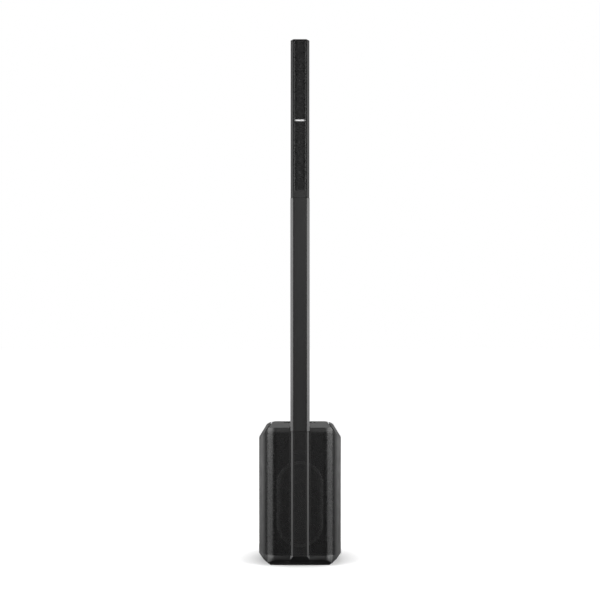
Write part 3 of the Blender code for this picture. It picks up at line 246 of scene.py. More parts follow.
def round_edges(obj, width, segments=3):
    """Rounded edges, with the flat faces kept flat in the shading."""
    bevel = obj.modifiers.new("round_edges", "BEVEL")
    bevel.width = width
    bevel.segments = segments
    bevel.limit_method = "ANGLE"
    bevel.angle_limit = math.radians(20)
    bevel.harden_normals = True
    bevel.miter_outer = "MITER_ARC"
    obj.data.shade_smooth()
    return obj


def body_of(node):
    for body, members in frame["record"]["behaviour"]["bodies"].items():
        if node in members:
            return body


def copy_of(node, flatten=True):
    """A CAD node's mesh, welded, without the lines across its flat faces.

    Plates with many openings look better with those lines left in.
    """
    bm = bmesh.new()
    bm.from_mesh(frame["nodes"][node].data)
    bmesh.ops.remove_doubles(bm, verts=bm.verts, dist=1e-6)
    if flatten:
        flat = math.radians(0.4)
        bmesh.ops.dissolve_limit(bm, angle_limit=flat, verts=bm.verts, edges=bm.edges)
    return bm


def carved(bm, tool):
    """A bmesh with a tool's solids cut out of it."""
    cutter = add_shape("cutter", tool)
    made = modified(bm, "BOOLEAN", operation="DIFFERENCE", object=cutter)
    bpy.data.objects.remove(cutter)
    return made


def finished(node, look, width, segments=3, carve=None, flatten=True):
    """A CAD node's shape with rounded edges."""
    bm = copy_of(node, flatten)
    if carve:
        bm = carved(bm, carve)
    obj = piece(node + "_finish", bm, look, body_of(node), node)
    return round_edges(obj, width, segments)


def polar(radius, turn):
    return radius * math.cos(turn), radius * math.sin(turn)


def circle(radius, height, steps):
    return [(*polar(radius, 2 * math.pi * step / steps), height) for step in range(steps)]


def turned(profile, steps):
    """A solid turned about Z from (radius, height) points, which start and end on the axis."""
    bm = bmesh.new()
    rings = []
    for radius, height in profile:
        if radius < 1e-7:
            rings.append([bm.verts.new((0, 0, height))])
            continue
        rings.append([bm.verts.new(point) for point in circle(radius, height, steps)])
    for near, far in zip(rings, rings[1:]):
        for index in range(steps):
            after = (index + 1) % steps
            corners = [near[index % len(near)], near[after % len(near)]]
            corners += [far[after % len(far)], far[index % len(far)]]
            corners = list(dict.fromkeys(corners))
            if len(corners) > 2:
                bm.faces.new(corners)
    bmesh.ops.recalc_face_normals(bm, faces=bm.faces)
    return bm


def loft(rings, closed=False):
    """Skin through rings of as many points each: ends filled, or joined round into a ring of rings."""
    bm = bmesh.new()
    rows = [[bm.verts.new(point) for point in ring] for ring in rings]
    pairs = list(zip(rows, rows[1:]))
    if closed:
        pairs.append((rows[-1], rows[0]))
    else:
        bm.faces.new(rows[0])
        bm.faces.new(rows[-1])
    for near, far in pairs:
        for index in range(len(near)):
            after = (index + 1) % len(near)
            bm.faces.new((near[index], near[after], far[after], far[index]))
    bmesh.ops.recalc_face_normals(bm, faces=bm.faces)
    return bm


def prism(outline, low, high):
    """A solid between two heights."""
    return loft([[(x, y, z) for x, y in outline] for z in (low, high)])


def box(low, high):
    bm = bmesh.new()
    bmesh.ops.create_cube(bm, size=1)
    size = [b - a for a, b in zip(low, high)]
    centre = [(a + b) / 2 for a, b in zip(low, high)]
    bm.transform(Matrix.Translation(centre) @ Matrix.Diagonal((*size, 1)))
    return bm


def joined(solids):
    """One bmesh of several."""
    whole = bmesh.new()
    for solid in solids:
        mesh = bpy.data.meshes.new("part")
        solid.to_mesh(mesh)
        solid.free()
        whole.from_mesh(mesh)
        bpy.data.meshes.remove(mesh)
    return whole


def placed(bm, matrix):
    bm.transform(matrix)
    return bm


def arc(centre, radius, start, stop, steps):
    """Points round a centre in the (radius, height) plane, between two angles in degrees."""
    turns = [math.radians(start + (stop - start) * step / steps) for step in range(steps + 1)]
    return [(centre[0] + radius * math.cos(turn), centre[1] + radius * math.sin(turn)) for turn in turns]


def rounded(half_x, half_y, corner, radius, height, steps, centre=(0, 0)):
    """A rectangle with round corners on XY. Another radius than the corners' own grows or shrinks it."""
    ring = []
    for quarter, (sign_x, sign_y) in enumerate(((1, 1), (-1, 1), (-1, -1), (1, -1))):
        for step in range(steps + 1):
            turn = math.pi / 2 * (quarter + step / steps)
            x = centre[0] + sign_x * (half_x - corner) + radius * math.cos(turn)
            y = centre[1] + sign_y * (half_y - corner) + radius * math.sin(turn)
            ring.append((x, y, height))
    return ring


def plate(half_x, half_y, corner, low, high, centre=(0, 0), edge=0.0):
    """A flat plate with round corners on XY, between two heights, with its upper edge bevelled."""
    shape = (half_x, half_y, corner)
    levels = ((low, 0), (high - edge, 0), (high, edge)) if edge else ((low, 0), (high, 0))
    return loft([rounded(*shape, corner - shrink, height, 5, centre) for height, shrink in levels])


PANEL_TURN = Matrix(((-1, 0, 0, 0), (0, 0, 1, 0), (0, 1, 0, 0), (0, 0, 0, 1)))


def facing_back(x, z, y=PANEL_Y):
    """Puts a shape drawn on XY, seen from +Z, on a plane at the back, seen from behind."""
    return Matrix.Translation((x, y, z)) @ PANEL_TURN


def on_panel(bm, x, z):
    return placed(bm, facing_back(x, z))


def screw_head(radius):
    """A low round screw head with a six-sided socket, seated on XY."""
    rise = radius * 0.42
    head = turned([(0, -0.0002), (radius, -0.0002), (radius, rise * 0.4)] + arc(
        (radius * 0.55, rise * 0.4), radius * 0.45, 0, 90, 4)[1:] + [(0, rise * 0.4 + radius * 0.45)], 24)
    socket = turned([(0, rise * 0.35), (radius * 0.46, rise * 0.35), (radius * 0.46, 1), (0, 1)], 6)
    return carved(head, socket)


def screws(name, places, radius):
    """Screw heads of one size, as one piece, at matrices."""
    heads = [placed(screw_head(radius), place) for place in places]
    return piece(name, joined(heads), "screw_steel", "base")


# ---- Perforated sheets ----
class Path:
    """A line in plan, from left to right seen from the front, measured along itself."""

    def __init__(self, points):
        self.points = [Vector(point) for point in points]
        self.marks = [0.0]
        for one, other in zip(self.points, self.points[1:]):
            self.marks.append(self.marks[-1] + (other - one).length)
        self.length = self.marks[-1]

    def at(self, along):
        spot = min(max(along, 0.0), self.length)
        index = 0
        while index < len(self.points) - 2 and self.marks[index + 1] < spot:
            index += 1
        one, other = self.points[index], self.points[index + 1]
        share = (spot - self.marks[index]) / (self.marks[index + 1] - self.marks[index])
        return one.lerp(other, share)


ROW_SHARE = 0.866  # rows this share of a pitch apart make the holes' neighbours equally far
PANEL_SHEET = (0.0042, 0.00155, 0.0030, 0.0012)  # pitch, radius of the holes, plain border, thickness
SPINE_SHEET = (0.0042, 0.00155, 0.0014, 0.0012)
ARRAY_SHEET = (0.0031, 0.00128, 0.0018, 0.0010)


def perforated(name, points, low, high, sheet, look, body, replaces=()):
    """A sheet with rows of six-sided holes, each row set half a pitch from the next, and a plain border."""
    pitch, hole, border, thickness = sheet
    path = Path(points)
    columns = int((path.length - 2 * border) / pitch)
    rows = int((high - low - 2 * border) / (pitch * ROW_SHARE))
    step = (path.length - 2 * border) / (2 * columns)
    rise = (high - low - 2 * border) / rows
    bm = bmesh.new()
    known = {}

    def vert(along, height):
        key = (round(along * 1e7), round(height * 1e7))
        if key not in known:
            spot = path.at(along)
            known[key] = bm.verts.new((spot.x, spot.y, height))
        return known[key]

    def line(half_steps, row):
        return vert(border + half_steps * step, low + border + row * rise)

    def cell(first, row):
        outer = [(0, 1), (1, 1), (2, 1), (2, 0), (1, 0), (0, 0)]
        rim = [line(first + across, row + up) for across, up in outer]
        centre_s = border + (first + 1) * step
        centre_z = low + border + (row + 0.5) * rise
        inner = []
        for turn in (150, 90, 30, -30, -90, -150):
            across, up = polar(hole, math.radians(turn))
            inner.append(vert(centre_s + across, centre_z + up))
        for index in range(6):
            after = (index + 1) % 6
            bm.faces.new((rim[index], inner[index], inner[after], rim[after]))

    for row in range(rows):
        odd = row % 2
        for column in range(columns - odd):
            cell(2 * column + odd, row)
        if odd:
            for end in (0, 2 * columns - 1):
                bm.faces.new([line(end, row), line(end + 1, row), line(end + 1, row + 1), line(end, row + 1)])
    heights = [low + border + row * rise for row in range(rows + 1)]
    spots = [border + half * step for half in range(2 * columns + 1)]
    for edge, inner in ((0.0, spots[0]), (path.length, spots[-1])):
        for one, other in zip(heights, heights[1:]):
            bm.faces.new([vert(edge, one), vert(inner, one), vert(inner, other), vert(edge, other)])
    spots = [0.0] + spots + [path.length]
    for edge, inner in ((low, heights[0]), (high, heights[-1])):
        for one, other in zip(spots, spots[1:]):
            bm.faces.new([vert(one, edge), vert(other, edge), vert(other, inner), vert(one, inner)])
    bmesh.ops.recalc_face_normals(bm, faces=bm.faces)
    if sum(face.normal.y * face.calc_area() for face in bm.faces) > 0:
        bmesh.ops.reverse_faces(bm, faces=bm.faces)
    bm = modified(bm, "SOLIDIFY", thickness=thickness, offset=-1)
    return piece(name, bm, look, body, replaces, sharp=50)


def section(node, height):
    """The points of a CAD node's outline where it crosses a height, in order."""
    bm = copy_of(node, flatten=False)
    crossing = {"plane_co": (0, 0, height), "plane_no": (0, 0, 1), "clear_inner": True, "clear_outer": True}
    bmesh.ops.bisect_plane(bm, geom=bm.verts[:] + bm.edges[:] + bm.faces[:], dist=1e-7, **crossing)
    bmesh.ops.remove_doubles(bm, verts=bm.verts, dist=1e-6)
    loops = []
    left = set(bm.edges)
    while left:
        edge = left.pop()
        start, vert = edge.verts
        chain = [start, vert]
        while vert != start:
            following = [other for other in vert.link_edges if other in left]
            if not following:
                break
            edge = following[0]
            left.discard(edge)
            vert = edge.other_vert(vert)
            chain.append(vert)
        loops.append([(v.co.x, v.co.y) for v in chain[:-1]])
    bm.free()
    return loops


def outer_grille_line():
    """The outer line of the base grille, from its left end to its right one."""
    loop = max(section("front_grille", middle("front_grille").z), key=len)
    reach = max(x for x, _ in loop)
    right_end = [index for index, (x, _) in enumerate(loop) if x > reach - 0.0030]
    left_end = [index for index, (x, _) in enumerate(loop) if x < -reach + 0.0030]
    start = max(left_end, key=lambda index: -loop[index][0])
    points = loop[start:] + loop[:start]
    stop = max(range(len(points)), key=lambda index: points[index][0])
    one, other = points[: stop + 1], [points[0]] + points[stop:][::-1]
    return min((one, other), key=lambda line: min(y for _, y in line))


# ---- The base's grille and spine ----
SPINE_FACE_HALF = 0.0265
TRIM_HALF = 0.0348


def build_base_grille():
    line = outer_grille_line()
    trim_half = COLUMN_HALF + 0.0004
    right = [(x, y) for x, y in line if x > trim_half]
    right = [(trim_half, right[0][1])] + right
    left = [(-x, y) for x, y in reversed(right)]
    span = (GRILLE_LOW, GRILLE_HIGH)
    perforated("grille_panel_left", left, *span, PANEL_SHEET, "grille_steel", "base", "front_grille")
    perforated("grille_panel_right", right, *span, PANEL_SHEET, "grille_steel", "base")
    face = [(x, y) for x, y in line if abs(x) < SPINE_FACE_HALF - 0.0002]
    perforated("grille_spine", face, *span, SPINE_SHEET, "mesh_steel", "base")
    build_spine_trims(face[-1])


def build_spine_trims(edge):
    """The two plain bright strips that carry the column's bevels down the front of the base."""
    face_x, face_y = edge
    wall = 0.0016
    bevel_y = FRONT + 0.0090
    for name, side in (("spine_trim_right", 1), ("spine_trim_left", -1)):
        outline = [
            (face_x + 0.0002, FRONT + 0.0011),
            (SPINE_FACE_HALF, FRONT + 0.0010),
            (TRIM_HALF, bevel_y - 0.0016),
            (TRIM_HALF, bevel_y + wall),
            (TRIM_HALF - 0.0012, bevel_y + wall),
            (SPINE_FACE_HALF - 0.0005, FRONT + 0.0010 + wall),
            (face_x + 0.0002, FRONT + 0.0010 + wall),
        ]
        strip = prism([(side * x, y) for x, y in outline], GRILLE_LOW, GRILLE_HIGH)
        obj = piece(name, strip, "trim_plastic", "base")
        round_edges(obj, 0.0004, 2)


# ---- The base's shells ----
def build_shells():
    """CAD shapes that are right as they are, with their edges rounded and their finish."""
    for node, look, width in (
        ("cheek_left", "shell_plastic", 0.0016),
        ("cheek_right", "shell_plastic", 0.0016),
        ("top_cap", "cap_plastic", 0.0014),
        ("rear_housing", "shell_plastic", 0.0012),
        ("handle_bar", "foot_rubber", 0.0010),
        ("port_tube", "inner_plastic", 0.0008),
        ("column_socket", "inner_plastic", 0.0004),
        ("extension_tube", "column_plastic", 0.0006),
        ("extension_plug", "inner_plastic", 0.0005),
        ("extension_socket", "inner_plastic", 0.0005),
        ("array_housing", "array_plastic", 0.0005),
        ("array_top_cap", "array_plastic", 0.0006),
        ("front_baffle", "inner_plastic", 0.0006),
        ("woofer_magnet", "magnet_iron", 0.0008),
        ("woofer_basket", "stamped_steel", 0.0005),
        ("power_supply", "stamped_steel", 0.0008),
        ("heat_sink", "heat_sink_aluminium", 0.0003),
        ("amplifier_board", "circuit_board", 0.0001),
        ("extension_cable", "cable_jacket", 0.0002),
    ):
        finished(node, look, width)
    finished("bottom_pan", "shell_plastic", 0.0006, 2, flatten=False)
    low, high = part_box("handle_bar")
    ribs = []
    for step in range(17):
        x = (step - 8) * 0.0048
        start = (x - 0.0009, low.y + 0.0085, high.z - 0.0012)
        ribs.append(box(start, (x + 0.0009, high.y - 0.0085, high.z + 0.0005)))
    round_edges(piece("grip_ribs", joined(ribs), "foot_rubber", "base"), 0.0004, 2)


def build_gaskets():
    """Dark foam strips that seal the grille to the cap above it and to the pan below it."""
    line = [(x, y) for x, y in outer_grille_line() if y < -0.184]
    outside = [(x * 0.982, y + 0.0020) for x, y in line]
    inside = [(x * 0.962, y + 0.0050) for x, y in reversed(line)]
    for name, low, high in (("cap_gasket", GRILLE_HIGH - 0.0070, GRILLE_HIGH + 0.0006),
                            ("pan_gasket", GRILLE_LOW - 0.0007, GRILLE_LOW + 0.0070)):
        piece(name, prism(outside + inside, low, high), "foot_rubber", "base")


def build_shade_skirt():
    """A low dark rubber skirt under the pan, just inside its lower edge: partly a real skirt, partly painted
    shade, a dark band that fills the gap to the floor where the shade under the base falls.
    """
    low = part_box("bottom_pan")[0].z
    loop = max(section("bottom_pan", low + 0.0010), key=len)
    rings = []
    for scale, z in ((0.985, 0.0005), (0.990, low + 0.0004), (0.955, low + 0.0004), (0.960, 0.0005)):
        rings.append([(x * scale, y * scale, z) for x, y in loop])
    # painted shade: the dark skirt fills the gap under the pan, where shade falls
    piece("base_shade_skirt", loft(rings, closed=True), "foot_rubber", "base")


def build_feet():
    """Rubber feet with grooves under them and a screw in their middle."""
    feet = ("foot_front_left", "foot_front_right", "foot_rear_left", "foot_rear_right")
    profile = [(0, 0.0012), (0.0040, 0.0012), (0.0040, 0)]
    for radius in (0.0066, 0.0092, 0.0118):
        profile += [(radius - 0.0006, 0), (radius - 0.0003, 0.0006)]
        profile += [(radius + 0.0003, 0.0006), (radius + 0.0006, 0)]
    profile += [(0.0140, 0), (0.0148, 0.0006), (0.0150, 0.0014), (0.0150, 0.0027), (0, 0.0027)]
    places = []
    for node in feet:
        spot = middle(node)
        foot = placed(turned(profile, 48), Matrix.Translation((spot.x, spot.y, 0)))
        piece(node + "_pad", foot, "foot_rubber", "base", node)
        places.append(Matrix.Translation((spot.x, spot.y, 0.0011)) @ Matrix.Rotation(math.pi, 4, "X"))
    screws("foot_screws", places, 0.0016)


# ---- The woofer behind the grille ----
WOOFER_STRAIGHT = 0.0760
ROLL_MIDDLE = 0.0710


def racetrack(radius, y, straight=WOOFER_STRAIGHT):
    """A racetrack round the woofer's middle, at a depth."""
    ring = []
    for side in (1, -1):
        for step in range(21):
            across, up = polar(radius, math.pi * (step / 20 + (side < 0)))
            ring.append((across, y, WOOFER_Z + side * straight + up))
    return ring


def build_woofer():
    """Ribbed cone with a dust cap, rolled surround and a trim ring with screws."""
    rim, hub = 0.0654, 0.0230
    coil = ((0.0185, -0.1140), (0.0190, -0.1560), (0.0235, -0.1562))
    rings = [racetrack(radius, y, 0.0) for radius, y in coil]
    rings += [racetrack(0.0620, -0.1852), racetrack(rim - 0.0006, -0.1873), racetrack(rim, -0.1879)]
    for step in range(13):
        share = step / 12
        radius = 0.0640 + (hub - 0.0640) * share
        y = -0.1876 + 0.0300 * share - 0.0007 * (step % 2)
        rings.append(racetrack(radius, y, WOOFER_STRAIGHT * (radius - hub) / (rim - hub)))
    for step in range(1, 7):
        turn = math.radians(15 * step - 2)
        rings.append(racetrack(hub * math.cos(turn), -0.1576 - 0.0100 * math.sin(turn), 0.0))
    piece("woofer_cone_paper", loft(rings), "cone_paper", "woofer_cone", "woofer_cone", sharp=40)
    outline = ((0.0768, -0.1912), (0.0768, -0.1924), (0.0776, -0.1930))
    outline += ((0.0872, -0.1930), (0.0882, -0.1922), (0.0882, -0.1912))
    ring = [racetrack(radius, y) for radius, y in outline]
    piece("woofer_trim_ring", loft(ring, closed=True), "trim_ring", "base")
    places = []
    for side in (1, -1):
        for turn in (20, 90, 160):
            across, up = polar(0.0824, math.radians(turn))
            spot = (across, -0.1929, WOOFER_Z + side * (WOOFER_STRAIGHT + up))
            places.append(Matrix.Translation(spot) @ Matrix.Rotation(math.pi / 2, 4, "X"))
    screws("woofer_screws", places, 0.0030)
    build_surround()


def build_surround():
    """The roll, in short stretches, each running from the cone out to the frame."""
    middle_of_roll = (ROLL_MIDDLE, -0.1885)
    profile = arc(middle_of_roll, 0.0052, 180, 360, 14) + arc(middle_of_roll, 0.0046, 360, 180, 14)
    count = 0
    for side in (1, -1):
        end = WOOFER_Z + side * WOOFER_STRAIGHT
        for step in range(12):
            turns = [math.radians(15 * step + 5 * part) + (side < 0) * math.pi for part in range(4)]
            rings = []
            for turn in turns:
                across, up = math.cos(turn), math.sin(turn)
                rings.append([(radius * across, y, end + radius * up) for radius, y in profile])
            count += 1
            turn = sum(turns) / 4
            surround_piece(count, rings)
    for side in (1, -1):
        rings = []
        for z in (-WOOFER_STRAIGHT, WOOFER_STRAIGHT):
            rings.append([(side * radius, y, WOOFER_Z + z) for radius, y in profile])
        count += 1
        surround_piece(count, rings)


def surround_piece(number, rings):
    obj = piece(f"woofer_roll_{number}", loft(rings), "surround_rubber", None, "woofer_surround")
    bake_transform(obj)


# ---- The column's pieces ----
def build_array_grille():
    low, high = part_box("array_grille")
    front = {}
    for x, y in max(section("array_grille", (low.z + high.z) / 2), key=len):
        key = round(x * 1e5)
        front[key] = min(y, front.get(key, y))
    line = [(key / 1e5, y) for key, y in sorted(front.items())]
    perforated("array_grille_mesh", line, low.z, high.z, ARRAY_SHEET, "mesh_steel", "array", "array_grille")


def build_array_baffle():
    """The baffle behind the array's grille, with seams between its modules."""
    low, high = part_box("array_baffle")
    slots = []
    for share in (0.0740, 0.2080, 0.3490):
        z = high.z - share * (high.z - low.z)
        start = (low.x - 0.01, low.y - 0.01, z - 0.0014)
        slots.append(box(start, (high.x + 0.01, low.y + 0.0035, z + 0.0014)))
    finished("array_baffle", "inner_plastic", 0.0003, 2, carve=joined(slots))


def build_array_plug():
    """The array's lower block, with two slots beside its latch."""
    low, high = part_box("array_plug")
    block_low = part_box("array_housing")[0].z
    slots = []
    for x in (-0.0207, 0.0207):
        start = (x - 0.0012, low.y - 0.01, block_low + 0.0030)
        slots.append(box(start, (x + 0.0012, low.y + 0.0030, high.z - 0.0020)))
    finished("array_plug", "column_plastic", 0.0004, carve=joined(slots))


def build_badge():
    """A plain bar, crowned from end to end."""
    low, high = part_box("array_badge")
    half, rise = (high.x - low.x) / 2, (high.z - low.z) / 2
    centre = (low.z + high.z) / 2
    rings = []
    for step in range(17):
        turn = math.radians(-86 + 172 * step / 16)
        x = half * math.sin(turn)
        tall = max(0.0006, rise * min(1.0, 1.8 * math.cos(turn)))
        out = low.y + 0.00028 * (x / half) ** 2
        rings.append([
            (x, high.y, centre - tall), (x, out + 0.0002, centre - tall), (x, out, centre - tall * 0.86),
            (x, out, centre + tall * 0.86), (x, out + 0.0002, centre + tall), (x, high.y, centre + tall),
        ])
    piece("array_badge_bar", loft(rings), "badge_metal", "array", "array_badge")


DRIVER_TURN = math.radians(22)
DRIVER_Y = -0.1985
DRIVER_RADIUS = 0.0255


def build_drivers():
    """Small array drivers: coated basket, rolled surround, ribbed cone and shiny dust cap."""
    basket = [
        (0.0205, -0.0018), (0.0235, -0.0018), (0.0235, 0.0), (DRIVER_RADIUS, 0.0), (DRIVER_RADIUS, -0.0020),
        (0.0222, -0.0020), (0.0205, -0.0110), (0.0165, -0.0120), (0.0165, -0.0255), (0, -0.0255),
    ]
    surround = [(0.0168, -0.0012)] + arc((0.0196, -0.0010), 0.0022, 170, 10, 8) + [(0.0230, -0.0014)]
    cone = [(0.0172, -0.0013)]
    cone += [(0.0172 - 0.0010 * step, -0.0013 - 0.0006 * step + 0.0002 * (step % 2)) for step in range(1, 10)]
    cap = [(0.0080, -0.0066)] + [(x * 0.0078, -0.0062 + y * 0.0040) for x, y in arc((0, 0), 1, 0, 80, 8)]
    cap.append((0, -0.0022))
    for index, node in enumerate(DRIVERS):
        turn = DRIVER_TURN * (1 if index % 2 else -1)
        place = Matrix.Translation((0, DRIVER_Y, middle(node).z))
        place = place @ Matrix.Rotation(turn, 4, "Z") @ Matrix.Rotation(math.pi / 2, 4, "X")
        for kind, profile, look, slot in (
            ("frame", basket, "stamped_steel", "stamped_steel"),
            ("surround", surround, "surround_rubber", "surround_rubber"),
            ("cone", cone, "cone_paper", "cone_paper"),
            ("dust_cap", cap, "dust_cap", "stamped_steel"),
        ):
            replaced = node if kind == "frame" else ()
            shape = placed(turned(profile, 40), place)
            piece(f"driver_{index + 1}_{kind}", shape, look, "array", replaced)


def build_contacts():
    """Flat contacts in the sockets."""
    for socket, body in (("column_socket", "base"), ("extension_socket", "extension")):
        low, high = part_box(socket)
        y = (low.y + high.y) / 2
        pads = []
        for step in range(4):
            x = (step - 1.5) * 0.0090
            start = (x - 0.0022, y - 0.0160, low.z + 0.0036)
            pads.append(box(start, (x + 0.0022, y + 0.0160, low.z + 0.0046)))
        obj = piece(socket + "_contacts", joined(pads), "gold_contact", body)
        round_edges(obj, 0.0003, 2)


# ---- The control panel ----
def outline_box(half_x, half_y, width, rise):
    """A thin raised frame round a rectangle on XY."""
    bars, half = [], width / 2
    for sign in (-1, 1):
        x, y = sign * half_x, sign * half_y
        bars.append(box((-half_x, y - half, -0.0001), (half_x, y + half, rise)))
        bars.append(box((x - half, -half_y, -0.0001), (x + half, half_y, rise)))
    return joined(bars)


def build_panels():
    for node in ("control_panel", "output_panel"):
        piece(node + "_plate", copy_of(node, flatten=False), "panel_metal", "base", node, sharp=2)
    split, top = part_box("control_panel")[0].z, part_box("control_panel")[1].z
    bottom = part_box("output_panel")[0].z
    heights = [bottom + 0.0085, (bottom + split) / 2, split - 0.0055]
    heights += [split + 0.0060, (split + top) / 2, top - 0.0085]
    places = [facing_back(x, z) for x in (-0.0820, 0.0820) for z in heights]
    screws("panel_screws", places, 0.0024)
    build_legends()
    build_rating_label(bottom + 0.0155)


INK = 0.00012


def build_legends():
    """Printed lines, scales and channel numbers: raised by the thickness of the ink."""
    bars = []

    def bar(half_x, low_y, high_y, x, z):
        bars.append(on_panel(box((-half_x, low_y, -0.0001), (half_x, high_y, INK)), x, z))

    for node in CHANNELS:
        spot = middle(node)
        for step in range(11):
            turn = math.radians(-135 + 27 * step)
            tick = box((-0.0003, 0.0152, -0.0001), (0.0003, 0.0180 if step % 5 == 0 else 0.0168, INK))
            bars.append(placed(tick, facing_back(spot.x, spot.z) @ Matrix.Rotation(turn, 4, "Z")))
    for x in (-0.0280, 0.0280):
        bar(0.00025, -0.0560, 0.0280, x, 0.4130)
    for z in (0.3525, 0.2880, 0.1830):
        bar(0.0780, -0.00025, 0.00025, 0, z)
    for node in XLR_JACKS:
        spot = middle(node)
        bars.append(on_panel(outline_box(0.0165, 0.0190, 0.0004, INK), spot.x, spot.z))
    for node in BUTTONS:
        spot = middle(node)
        if not node.startswith("standby"):
            bar(0.0030, -0.00035, 0.00035, spot.x, spot.z - 0.0064)
    spot = middle("standby_button")
    bars.append(on_panel(outline_box(0.0020, 0.0020, 0.0005, INK), spot.x, spot.z - 0.0145))
    piece("panel_legends", joined(bars), "legend_ink", "base")
    for index, node in enumerate(CHANNELS):
        text = bpy.data.curves.new("number", "FONT")
        text.body, text.size = str(index + 1), 0.0088
        text.align_x, text.align_y = "CENTER", "CENTER"
        text.extrude = INK
        source = add_object("number", text)
        bpy.context.view_layer.update()
        mesh = bpy.data.meshes.new_from_object(source.evaluated_get(bpy.context.evaluated_depsgraph_get()))
        bm = bmesh.new()
        bm.from_mesh(mesh)
        bpy.data.objects.remove(source)
        spot = middle(node)
        side = 0.0185 if index < 2 else -0.0185
        on_panel(bm, spot.x - side, spot.z + 0.0215)
        piece(f"channel_number_{index + 1}", bm, "legend_ink", "base")


def build_rating_label(z):
    """A plate with plain lines and bars where a rating label has words."""
    label = plate(0.0240, 0.0070, 0.0012, -0.0001, 0.00015)
    piece("rating_label", on_panel(label, -0.0100, z), "label_film", "base")
    rows = []
    for row in range(4):
        start = (-0.0210, 0.0038 - row * 0.0026, 0.0001)
        rows.append(box(start, (0.0040 + 0.0045 * (row % 3), 0.0044 - row * 0.0026, 0.00022)))
    for step in range(9):
        start = (0.0155 + step * 0.0007, -0.0048, 0.0001)
        rows.append(box(start, (0.0158 + step * 0.0007 + 0.0001 * (step % 3), -0.0012, 0.00022)))
    lines = on_panel(joined(rows), -0.0100, z)
    piece("rating_label_lines", lines, "inner_plastic", "base")


def build_lights():
    """Status lights: small lenses beside the buttons and over the knobs."""
    lens = [(0, -0.0006), (0.0011, -0.0006), (0.0011, 0.0003), (0.0008, 0.0006), (0, 0.0007)]
    rim = [(0, -0.0002), (0.0017, -0.0002), (0.0016, 0.0002), (0.0012, 0.0003), (0, 0.0001)]
    groups = {"lens_green": [], "lens_red": [], "lens_white": []}
    for index in (1, 2, 3):
        knob = middle(f"channel_knob_{index}")
        groups["lens_green"].append((knob.x + 0.0118, middle(f"edit_button_{index}").z))
        groups["lens_red"].append((knob.x + 0.0118, middle(f"mute_button_{index}").z))
        groups["lens_white"].append((knob.x, knob.z + 0.0200))
    for node in ("tone_button", "pairing_button"):
        groups["lens_white"].append((middle(node).x + 0.0118, middle(node).z))
    groups["lens_green"].append((middle("standby_button").x, middle("standby_button").z + 0.0135))
    spots = []
    for look, places in groups.items():
        spots += places
        shapes = [on_panel(turned(lens, 20), x, z) for x, z in places]
        piece(look + "_lights", joined(shapes), look, "base")
    shapes = [on_panel(turned(rim, 20), x, z) for x, z in spots]
    piece("light_rims", joined(shapes), "connector_plastic", "base")


def fluted(radius, height, depth, steps=96, flutes=24):
    ring = []
    for step in range(steps):
        turn = 2 * math.pi * step / steps
        here = radius - depth * (0.5 + 0.5 * math.cos(flutes * turn)) ** 2
        ring.append((*polar(here, turn), height))
    return ring


def build_knobs():
    """Fluted knobs with a flared skirt, a dished top and a pointer line."""
    stages = [
        (0.0030, -0.0155, 0), (0.0030, 0.0006, 0), (0.0120, 0.0006, 0), (0.0127, 0.0008, 0),
        (0.0128, 0.0016, 0), (0.0122, 0.0026, 0), (0.0118, 0.0034, 0), (0.0117, 0.0042, 0.0006),
        (0.0110, 0.0132, 0.0006), (0.0108, 0.0141, 0.0003), (0.0103, 0.0148, 0), (0.0097, 0.0150, 0),
        (0.0091, 0.0148, 0), (0.0086, 0.0144, 0), (0.0050, 0.0141, 0), (0.0010, 0.0140, 0),
    ]
    for node in CHANNELS:
        spot = middle(node)
        place = facing_back(spot.x, spot.z)
        shape = placed(loft([fluted(*stage) for stage in stages]), place)
        piece(node + "_grip", shape, "control_rubber", node, node, sharp=38)
        pointer = [
            box((-0.0006, 0.0022, 0.0139), (0.0006, 0.0086, 0.01455)),
            box((-0.0006, 0.0086, 0.0138), (0.0006, 0.0107, 0.01500)),
        ]
        piece(node + "_pointer", placed(joined(pointer), place), "legend_ink", node)


def cap_rings(half_x, half_y, corner, low, top, dish):
    """Rings of a push button: skirt behind the panel, shank, rounded rim and dished top."""
    levels = (
        (0.0011, low), (0.0011, low + 0.0015), (0, low + 0.0015), (0, top - 0.0007), (-0.0003, top - 0.0002),
        (-0.0008, top), (-0.0014, top), (-0.0022, top - dish), (-0.0030, top - dish),
    )
    shape = (half_x, half_y, corner)
    return [rounded(*shape, max(corner + grow, 0.0002), height, 6) for grow, height in levels]


def build_buttons():
    for node in BUTTONS:
        spot = middle(node)
        low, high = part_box(node)
        place = facing_back(spot.x, spot.z)
        reach = (low.y - PANEL_Y, high.y - PANEL_Y)
        if node.startswith("standby"):
            rings = cap_rings(0.0080, 0.0080, 0.0080, *reach, 0.0004)
            symbol = arc((0, 0), 0.0030, 125, 415, 20) + arc((0, 0), 0.0025, 415, 125, 20)
            bars = [prism(symbol, 0.0022, 0.0025)]
            bars.append(box((-0.00028, 0.0012, 0.0022), (0.00028, 0.0038, 0.0025)))
            piece("standby_symbol", placed(joined(bars), place), "legend_ink", node)
        else:
            rings = cap_rings(0.0066, 0.0034, 0.0026, *reach, 0.0003)
        piece(node + "_cap", placed(loft(rings), place), "control_rubber", node, node)


# ---- Connectors ----
def tube(inner, outer, low, high, steps=32, edge=0.0002):
    """A ring with bevelled rims, about Z."""
    profile = [(outer, low), (outer, high - edge), (outer - edge, high)]
    profile += [(inner + edge, high), (inner, high - edge), (inner, low)]
    return loft([circle(radius, height, steps) for radius, height in profile], closed=True)


